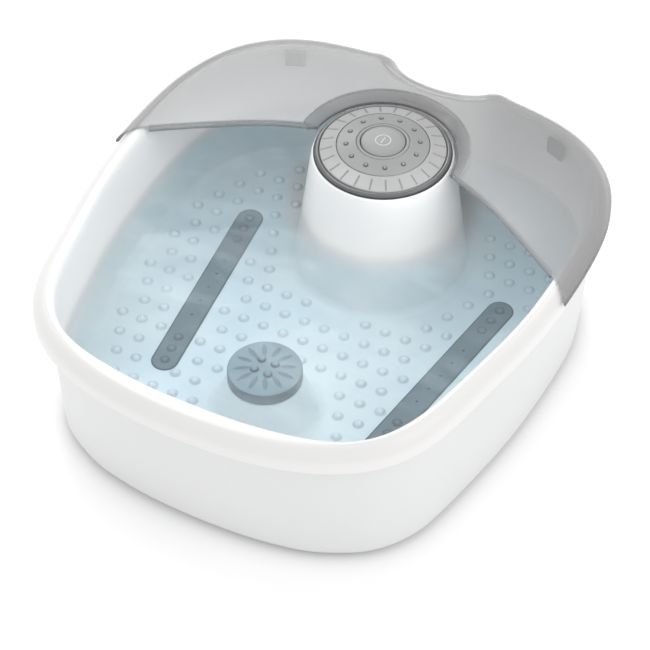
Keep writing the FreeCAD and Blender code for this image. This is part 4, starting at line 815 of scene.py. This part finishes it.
def dial():
    m = Mesh()
    slope = (139.0 - 135.3) / (48.0 - 37.0)
    prof = [(21.0, 118.0), (21.0, 138.0), (36.4, 135.9), (47.0, 133.0), (47.0, 132.0), (48.9, 132.0), (49.2, 132.3),
            (49.2, 134.2), (49.0, 134.8), (48.7, 135.1)]
    prof += [(r, 135.3 + (48.0 - r) * slope) for r in np.arange(48.2, 37.55, -0.35)]
    prof += [(37.35, 138.95), (37.0, 139.05), (36.6, 138.9), (36.45, 138.2), (36.3, 137.75), (30.0, 138.9),
             (21.2, 140.65), (20.75, 141.3), (20.5, 141.9), (20.1, 142.25), (19.3, 142.42), (18.5, 142.38),
             (18.05, 142.1), (17.9, 141.6), (17.9, 118.0)]
    n = 24

    def groove(r, z, a):
        if r < 38.0 or r > 49.0 or z < 134.0:
            return 0.0
        k = round(a / (2 * math.pi / n))
        lat = abs(a - k * 2 * math.pi / n) * r
        win = sstep((r - 38.9) / 0.9) * sstep((48.9 - r) / 0.7)
        return -0.75 * win * sstep((0.95 - lat) / 0.75)

    # painted shade in the grooves and in the step down to the trim
    def painted_dark(r, z, a):
        return min(1.0, -groove(r, z, a) * 0.6) + (0.9 if 36.2 < r < 36.6 and z < 138.4 else 0.0)

    polar_rows(m, prof, 0, TY, n * 40, groove, closed=True, tone=painted_dark)
    d = m.build("dial_ring", "dial", MAT["dial"], ("selector_dial",), angle=45)
    d.data.materials.append(MAT["trim"])
    for p in d.data.polygons:
        if math.hypot(p.center.x, p.center.y - TY * MM) < 0.0216 and p.center.z > 0.139:
            p.material_index = 1

    m = Mesh()
    prof = [(20.95, 140.75), (36.0, 137.8), (36.0, 138.7), (35.8, 139.1), (35.3, 139.4), (34.8, 139.55)]
    prof += [(r, 139.6 + (34.4 - r) * (142.05 - 139.6) / (34.4 - 21.6)) for r in np.arange(34.4, 21.5, -0.35)]
    prof += [(21.2, 142.02), (20.95, 141.8)]

    def bump(r, z, a):
        if z < 139.3:
            return 0.0
        k = round(a / (math.pi / 6))
        d = math.hypot(r - 28.7, (a - k * math.pi / 6) * r)
        return 0.85 * math.sqrt(max(0.0, 1 - (d / 1.35) ** 2)) - 0.55 * sstep((2.3 - d) / 0.6) * sstep((d - 1.2) / 0.3)

    # painted shade in a ring round each bump
    def bump_ring_shade(r, z, a):
        if z < 139.3:
            return 0.0
        k = round(a / (math.pi / 6))
        lat = (a - k * math.pi / 6) * r
        d = math.hypot(r - 28.7, lat)
        return 0.7 * sstep((2.2 - d) / 0.7) * sstep((d - 0.9) / 0.4)

    polar_rows(m, prof, 0, TY, 720, bump, closed=True, tone=bump_ring_shade)
    m.build("dial_trim", "dial", MAT["trim"], ("dial_trim_disc",), angle=50)

    m = Mesh()
    prof = [(49.5, 131.0), (53.0, 131.0), (53.3, 131.5), (53.3, 132.4), (52.9, 133.3), (52.2, 133.9), (51.3, 134.2),
            (50.3, 134.1), (49.7, 133.7), (49.5, 133.2)]
    m.lathe(prof, 0, TY, 200, closed=True)
    m.build("bezel_ring", "tub", MAT["bezel"], ("dial_bezel",), angle=60)

    m = Mesh()
    m.lathe([(53.0, 131.0), (54.1, 131.0), (54.1, 131.5), (53.8, 131.9), (53.3, 131.9), (53.0, 131.5)], 0, TY, 200)
    g = m.build("bezel_gasket", "tub", MAT["seal"], (), angle=60)

    # push button, with a raised power sign
    m = Mesh()
    top = 143.0
    prof = [(0, 119.9), (2.0, 119.9), (2.0, top - 3.0), (15.3, top - 3.0), (15.3, top - 9.0), (17.3, top - 9.0),
            (17.3, top - 1.2), (17.15, top - 0.6), (16.7, top - 0.2), (16.0, top), (13.0, top + 0.12), (9.0, top + 0.3),
            (5.0, top + 0.4), (0, top + 0.45)]
    m.lathe(prof, 0, TY, 120, closed=False)
    b = m.build("button_cap", "button", MAT["button"], ("power_button",), angle=40)
    m = Mesh()
    # sign: a thin ring and a bar
    def tube(pts, w, z0, h):
        rows = []
        for k, p in enumerate(pts):
            q = pts[min(k + 1, len(pts) - 1)] - pts[max(k - 1, 0)]
            q = q / max(1e-9, np.hypot(*q))
            nrm = np.array([-q[1], q[0]])
            sect = [(-w, -0.2), (-w, h * 0.6), (-w * 0.6, h), (w * 0.6, h), (w, h * 0.6), (w, -0.2)]
            rows.append(np.array([(p[0] + nrm[0] * u, TY + p[1] + nrm[1] * u, z0 + v) for u, v in sect]))
        m.skin(rows, cap_start=True, cap_end=True)
    tube([np.array([5.9 * math.cos(a), 5.9 * math.sin(a)]) for a in np.linspace(0, 2 * math.pi, 73)], 0.42, top + 0.36, 0.30)
    tube([np.array([0.0, y]) for y in np.linspace(-3.9, 3.9, 9)], 0.45, top + 0.40, 0.30)
    m.build("power_sign", "button", MAT["icon"], (), angle=40)
    return b, g


dial()


# ------------------------------------------------------------ massage disc
def disc():
    m = Mesh()
    R0, zb, ze, zc = 28.46, 54.7, 65.0, 66.6

    def top(r):
        return zc - (zc - ze - 0.05) * (r / 27.4) ** 2

    prof = [(10.35, zb + 7.0), (10.35, zb), (27.4, zb), (28.1, zb + 0.15), (R0, zb + 0.7), (R0, 60.0), (R0, ze - 1.5),
            (28.3, ze - 0.75), (27.9, ze - 0.2), (27.2, top(27.2))]
    prof += [(r, top(r)) for r in np.arange(26.8, 0.9, -0.4)]
    petals = 12

    def lift(r, z, a):
        if z < ze - 0.3 or r > 27.3:
            return 0.0
        k = round(a / (2 * math.pi / petals))
        lat = abs(a - k * 2 * math.pi / petals) * r
        u = (r - 17.6) / 6.9
        dz = 0.0
        if abs(u) < 1:
            w = 2.05 * (1 - u * u) ** 0.8
            if lat < w:
                dz = -1.25 * (1 - (lat / w) ** 2) * (1 - u * u) ** 0.5
            elif lat < w + 0.5:
                dz = 0.14 * (1 - abs((lat - w) / 0.5 - 0.5) * 2) * (1 - u * u)
        for q in range(4):
            t = math.pi / 4 + q * math.pi / 2
            d = math.hypot(r * math.cos(a) - 8.1 * math.cos(t), r * math.sin(a) - 8.1 * math.sin(t))
            if d < 3.0:
                dz = max(dz, 2.6 * math.sqrt(max(0.0, 1 - (d / 3.0) ** 2)))
        return dz

    # painted shade: side and underside dark, darker towards the bottom; petal grooves darker; a dark ring round each
    # nub
    def tone(r, z, a):
        if z < ze - 0.3 or r > 27.9:
            return 0.78 + 0.16 * (65.0 - min(65.0, z)) / 10.0
        dz = lift(r, z, a)
        v = 0.35 * min(1.0, -dz) if dz < 0 else 0.0
        for q in range(4):
            t = math.pi / 4 + q * math.pi / 2
            d = math.hypot(r * math.cos(a) - 8.1 * math.cos(t), r * math.sin(a) - 8.1 * math.sin(t))
            v = max(v, 0.8 * sstep((4.2 - d) / 1.2) * sstep((d - 2.1) / 0.6))
        return v

    polar_rows(m, prof, 0, PY, 432, lift, tone=tone)
    # close the crown's middle and the socket's roof
    m.lathe([(1.2, top(1.2)), (0.6, top(0.6)), (0, zc)], 0, PY, 432, closed=False)
    m.lathe([(0, zb + 7.0), (10.35, zb + 7.0)], 0, PY, 432, closed=False)
    return m.build("disc_cap", "disc", MAT["disc"], ("massage_disc",), angle=50)


disc()


# ------------------------------------------------------------- air strips
def capsule_ring(half, length, n=28):
    """Points of a capsule outline along local X, from 0 to length, with half-width half."""
    pts = []
    for k in range(n + 1):
        a = -math.pi / 2 + math.pi * k / n
        pts.append((length + half * math.cos(a), half * math.sin(a)))
    for k in range(n + 1):
        a = math.pi / 2 + math.pi * k / n
        pts.append((half * math.cos(a), half * math.sin(a)))
    return np.array(pts)


def strips():
    L, W = 170.65, 9.75
    for side, word in ((1, "right"), (-1, "left")):
        ax, ay, bx, by = side * 112.4, 93.0, side * 92.6, -76.5
        t = math.atan2(by - ay, bx - ax)
        ct, st = math.cos(t), math.sin(t)

        def put(p, z):
            return np.column_stack([ax + p[:, 0] * ct - p[:, 1] * st, ay + p[:, 0] * st + p[:, 1] * ct,
                                    np.full(len(p), z)])

        m = Mesh()
        rings = [put(capsule_ring(W, L), 20.0), put(capsule_ring(W, L), 21.9), put(capsule_ring(W - 0.15, L), 22.25),
                 put(capsule_ring(W - 0.5, L), 22.45), put(capsule_ring(W - 1.0, L), 22.5)]
        m.skin(rings, cap_start=True, cap_end=True)
        # each ball gets painted shade round its foot, on the ball and on a flat ring round it
        for x in (0.0, 13.0, 26.0, L - 26.0, L - 13.0, L):
            px, py = ax + x * ct, ay + x * st
            dome(m, px, py, 22.5, [(3.2, -0.1), (2.9, 0.1), (2.6, 0.5), (2.2, 1.05), (1.6, 1.45), (0.8, 1.65), (0, 1.7)], 20, [1.0, 1.0, 0.8, 0.3, 0.0, 0.0, 0.0])
            dome(m, px, py, 22.5, [(4.6, 0.0), (4.0, 0.03), (3.0, 0.06)], 20, [0.0, 0.7, 1.0])
        m.build("strip_" + word, "tub", MAT["strip"], ("massage_strip_" + word,), angle=40)
        # air holes as dark discs flush with the strip: painted shade for their shadowed insides
        m = Mesh()
        for k in range(5):
            x = L / 2 + (k - 2) * 16.3
            px, py = ax + x * ct, ay + x * st
            m.lathe([(0, 22.44), (1.0, 22.44), (1.1, 22.56), (0.8, 22.62), (0.7, 22.52), (0, 22.5)], px, py, 16,
                    closed=False)
        m.build("strip_holes_" + word, "tub", MAT["hole"], (), angle=40)
        m = Mesh()
        m.skin([put(capsule_ring(W + 0.02, L), 20.2), put(capsule_ring(W + 0.95, L), 20.2),
                put(capsule_ring(W + 0.95, L), 21.9), put(capsule_ring(W + 0.8, L), 22.2),
                put(capsule_ring(W + 0.15, L), 22.25), put(capsule_ring(W + 0.02, L), 22.0)], closed=True)
        m.build("strip_gasket_" + word, "tub", MAT["seal"],
                ("strip_seals",) if side > 0 else (), angle=60)


strips()


# ------------------------------------------------------------------ water
def water():
    """Warm water for the scene: a staged prop, not a piece of the bath."""
    z = WATER
    edge_pts = dense(inset(wall_at(z), 0.3))
    c = np.array([0.0, HCY])
    fr = [1.0, 0.99, 0.975, 0.955, 0.93, 0.9, 0.85, 0.78, 0.7, 0.6, 0.5, 0.4, 0.3, 0.2, 0.1, 0.03]
    verts, faces, depth = [], [], []
    n = len(edge_pts)
    for f in fr:
        for p in edge_pts:
            q = c + (p - c) * f
            verts.append((q[0], q[1], z))
    for i in range(len(fr) - 1):
        for k in range(n):
            g = (k + 1) % n
            faces.append((i * n + k, i * n + g, (i + 1) * n + g, (i + 1) * n + k))
    faces.append(tuple((len(fr) - 1) * n + k for k in range(n)))
    me = bpy.data.meshes.new("water")
    me.from_pydata([(x * MM, y * MM, w * MM) for x, y, w in verts], [], faces)
    me.update()
    att = me.attributes.new("wall_gap", "FLOAT", "POINT")
    vals = []
    ep = edge_pts[::2]
    for x, y, w in verts:
        wall = float(np.hypot(ep[:, 0] - x, ep[:, 1] - y).min())
        vals.append(max(0.0, min(wall, 0.55 * (math.hypot(x, y - TY) - tower_r(z)))))
    att.data.foreach_set("value", np.array(vals, np.float32))
    me.shade_smooth()
    ob = bpy.data.objects.new("water", me)
    scene.collection.objects.link(ob)
    m = bpy.data.materials.new("water_blue")
    m.use_nodes = True
    nt = m.node_tree
    nt.nodes.clear()
    out = nt.nodes.new("ShaderNodeOutputMaterial")
    clear = nt.nodes.new("ShaderNodeBsdfTransparent")
    haze = nt.nodes.new("ShaderNodeBsdfDiffuse")
    gloss = nt.nodes.new("ShaderNodeBsdfGlossy")
    haze.inputs["Color"].default_value = (0.80, 0.90, 0.95, 1)
    gloss.inputs["Roughness"].default_value = 0.08
    at = nt.nodes.new("ShaderNodeAttribute")
    at.attribute_name = "wall_gap"
    fade = nt.nodes.new("ShaderNodeMapRange")
    fade.inputs["From Max"].default_value = 15.0
    fade.interpolation_type = "SMOOTHSTEP"
    nt.links.new(at.outputs["Fac"], fade.inputs["Value"])
    n1 = noise(nt, 11.0, 3.0, 0.5, (1.0, 1.5, 1.0))
    col = ramp(nt, n1.outputs["Fac"], (0.64, 0.765, 0.825, 1), (0.76, 0.845, 0.88, 1), 0.36, 0.64)
    tint = nt.nodes.new("ShaderNodeMix")
    tint.data_type = "RGBA"
    nt.links.new(fade.outputs["Result"], tint.inputs[0])
    tint.inputs[6].default_value = (1, 1, 1, 1)
    nt.links.new(col.outputs["Color"], tint.inputs[7])
    nt.links.new(tint.outputs[2], clear.inputs["Color"])
    n3 = noise(nt, 13.0, 5.0, 0.6, (1.0, 2.2, 1.0))
    al = nt.nodes.new("ShaderNodeMapRange")
    al.inputs["From Min"].default_value = 0.48
    al.inputs["From Max"].default_value = 0.70
    al.inputs["To Min"].default_value = 0.04
    al.inputs["To Max"].default_value = 0.15
    nt.links.new(n3.outputs["Fac"], al.inputs["Value"])
    mu = nt.nodes.new("ShaderNodeMath")
    mu.operation = "MULTIPLY"
    nt.links.new(fade.outputs["Result"], mu.inputs[0])
    nt.links.new(al.outputs["Result"], mu.inputs[1])
    mist = nt.nodes.new("ShaderNodeMixShader")
    nt.links.new(mu.outputs["Value"], mist.inputs[0])
    nt.links.new(clear.outputs["BSDF"], mist.inputs[1])
    nt.links.new(haze.outputs["BSDF"], mist.inputs[2])
    # painted light: a faint blue glow that lifts the water where it lies in shade
    glow = nt.nodes.new("ShaderNodeEmission")
    glow.inputs["Color"].default_value = (0.66, 0.84, 0.95, 1)
    gs = nt.nodes.new("ShaderNodeMath")
    gs.operation = "MULTIPLY"
    gs.inputs[1].default_value = 0.11
    nt.links.new(fade.outputs["Result"], gs.inputs[0])
    nt.links.new(gs.outputs["Value"], glow.inputs["Strength"])
    body = nt.nodes.new("ShaderNodeAddShader")
    nt.links.new(mist.outputs["Shader"], body.inputs[0])
    nt.links.new(glow.outputs["Emission"], body.inputs[1])
    wv = noise(nt, 17.0, 2.0, 0.45, (1.0, 1.9, 1.0))
    bp = nt.nodes.new("ShaderNodeBump")
    bp.inputs["Strength"].default_value = 0.10
    bp.inputs["Distance"].default_value = 0.003
    nt.links.new(wv.outputs["Fac"], bp.inputs["Height"])
    nt.links.new(bp.outputs["Normal"], gloss.inputs["Normal"])
    fr_ = nt.nodes.new("ShaderNodeFresnel")
    fr_.inputs["IOR"].default_value = 1.33
    nt.links.new(bp.outputs["Normal"], fr_.inputs["Normal"])
    top = nt.nodes.new("ShaderNodeMixShader")
    wet = nt.nodes.new("ShaderNodeMath")
    wet.operation = "MULTIPLY"
    nt.links.new(fr_.outputs["Fac"], wet.inputs[0])
    nt.links.new(fade.outputs["Result"], wet.inputs[1])
    nt.links.new(wet.outputs["Value"], top.inputs[0])
    nt.links.new(body.outputs["Shader"], top.inputs[1])
    nt.links.new(gloss.outputs["BSDF"], top.inputs[2])
    nt.links.new(top.outputs["Shader"], out.inputs["Surface"])
    m.surface_render_method = "BLENDED"
    me.materials.append(m)
    ob.visible_shadow = False


water()


# ------------------------------------------------------------------ stage
def stage_floor():
    """Pale floor with a painted contact shadow close round the foot of the casing."""
    steps = [(14.0, 0.8), (4.0, 0.7), (0.0, 0.52), (-3.0, 0.34), (-7.0, 0.18), (-12.0, 0.07), (-20.0, 0.0), (-40.0, 0.0)]
    rings = [ring(inset(base, d), 0.0) for d, _ in steps]
    hub = np.array([0.0, HCY, 0.0])
    away = rings[0] - hub
    away /= np.hypot(away[:, 0], away[:, 1])[:, None]
    rings = [hub + (rings[0] - hub) * 0.5] + rings + [hub + away * 700.0, hub + away * 7000.0]
    n = len(rings[0])
    faces = [tuple(range(n))]
    for i in range(len(rings) - 1):
        faces += [(i * n + k, (i + 1) * n + k, (i + 1) * n + (k + 1) % n, i * n + (k + 1) % n) for k in range(n)]
    me = bpy.data.meshes.new("floor")
    me.from_pydata((np.concatenate(rings) * MM).tolist(), [], faces)
    me.update()
    near = np.repeat([0.8] + [v for _, v in steps] + [0.0, 0.0], n)
    me.attributes.new("contact", "FLOAT", "POINT").data.foreach_set("value", near.astype(np.float32))
    ob = bpy.data.objects.new("floor", me)
    scene.collection.objects.link(ob)
    m, nt, b = new_mat("floor_pale")
    at = nt.nodes.new("ShaderNodeAttribute")
    at.attribute_name = "contact"
    # painted shadow: darker colour and weaker glow where the contact value is high
    tone = ramp(nt, at.outputs["Fac"], (0.93, 0.93, 0.93, 1), (0.58, 0.58, 0.59, 1), 0.0, 1.0)
    nt.links.new(tone.outputs["Color"], b.inputs["Base Color"])
    lit = nt.nodes.new("ShaderNodeMapRange")
    lit.inputs["To Min"].default_value = 0.22
    lit.inputs["To Max"].default_value = 0.07
    nt.links.new(at.outputs["Fac"], lit.inputs["Value"])
    nt.links.new(lit.outputs["Result"], b.inputs["Emission Strength"])
    b.inputs["Emission Color"].default_value = (1, 1, 1, 1)
    b.inputs["Roughness"].default_value = 0.9
    b.inputs["Specular IOR Level"].default_value = 0.1
    me.materials.append(m)


stage_floor()
world = bpy.data.worlds.new("studio")
scene.world = world
world.use_nodes = True
bg = world.node_tree.nodes["Background"]
bg.inputs["Color"].default_value = (1.0, 1.0, 1.0, 1)
bg.inputs["Strength"].default_value = 0.80


def area(name, loc, aim, size, power, color=(1, 1, 1)):
    d = bpy.data.lights.new(name, "AREA")
    d.shape = "RECTANGLE"
    d.size, d.size_y = size
    d.energy = power
    d.color = color
    o = bpy.data.objects.new(name, d)
    scene.collection.objects.link(o)
    o.location = loc
    o.rotation_euler = (Vector(aim) - Vector(loc)).to_track_quat("-Z", "Y").to_euler()
    return o


area("key", (-1.3, 0.5, 2.6), (0, 0, 0.05), (1.1, 1.1), 9.5)
area("right", (2.3, 0.2, 1.9), (0, 0, 0.06), (1.5, 1.5), 10.0)
area("sheen", (-1.15, 1.75, 1.62), (0, 0.1, 0.1), (0.9, 0.65), 7.0)
for name, spot, size, power in (("bowl", (-0.03, -0.09, 0.19), (0.22, 0.14), 0.085),
                                ("bowl_right", (0.10, 0.035, 0.20), (0.08, 0.08), 0.062),
                                ("bowl_left", (-0.105, 0.04, 0.20), (0.08, 0.08), 0.030)):
    lamp = area(name, spot, (spot[0], spot[1], 0.0), size, power)
    lamp.visible_camera = False
    lamp.visible_glossy = False
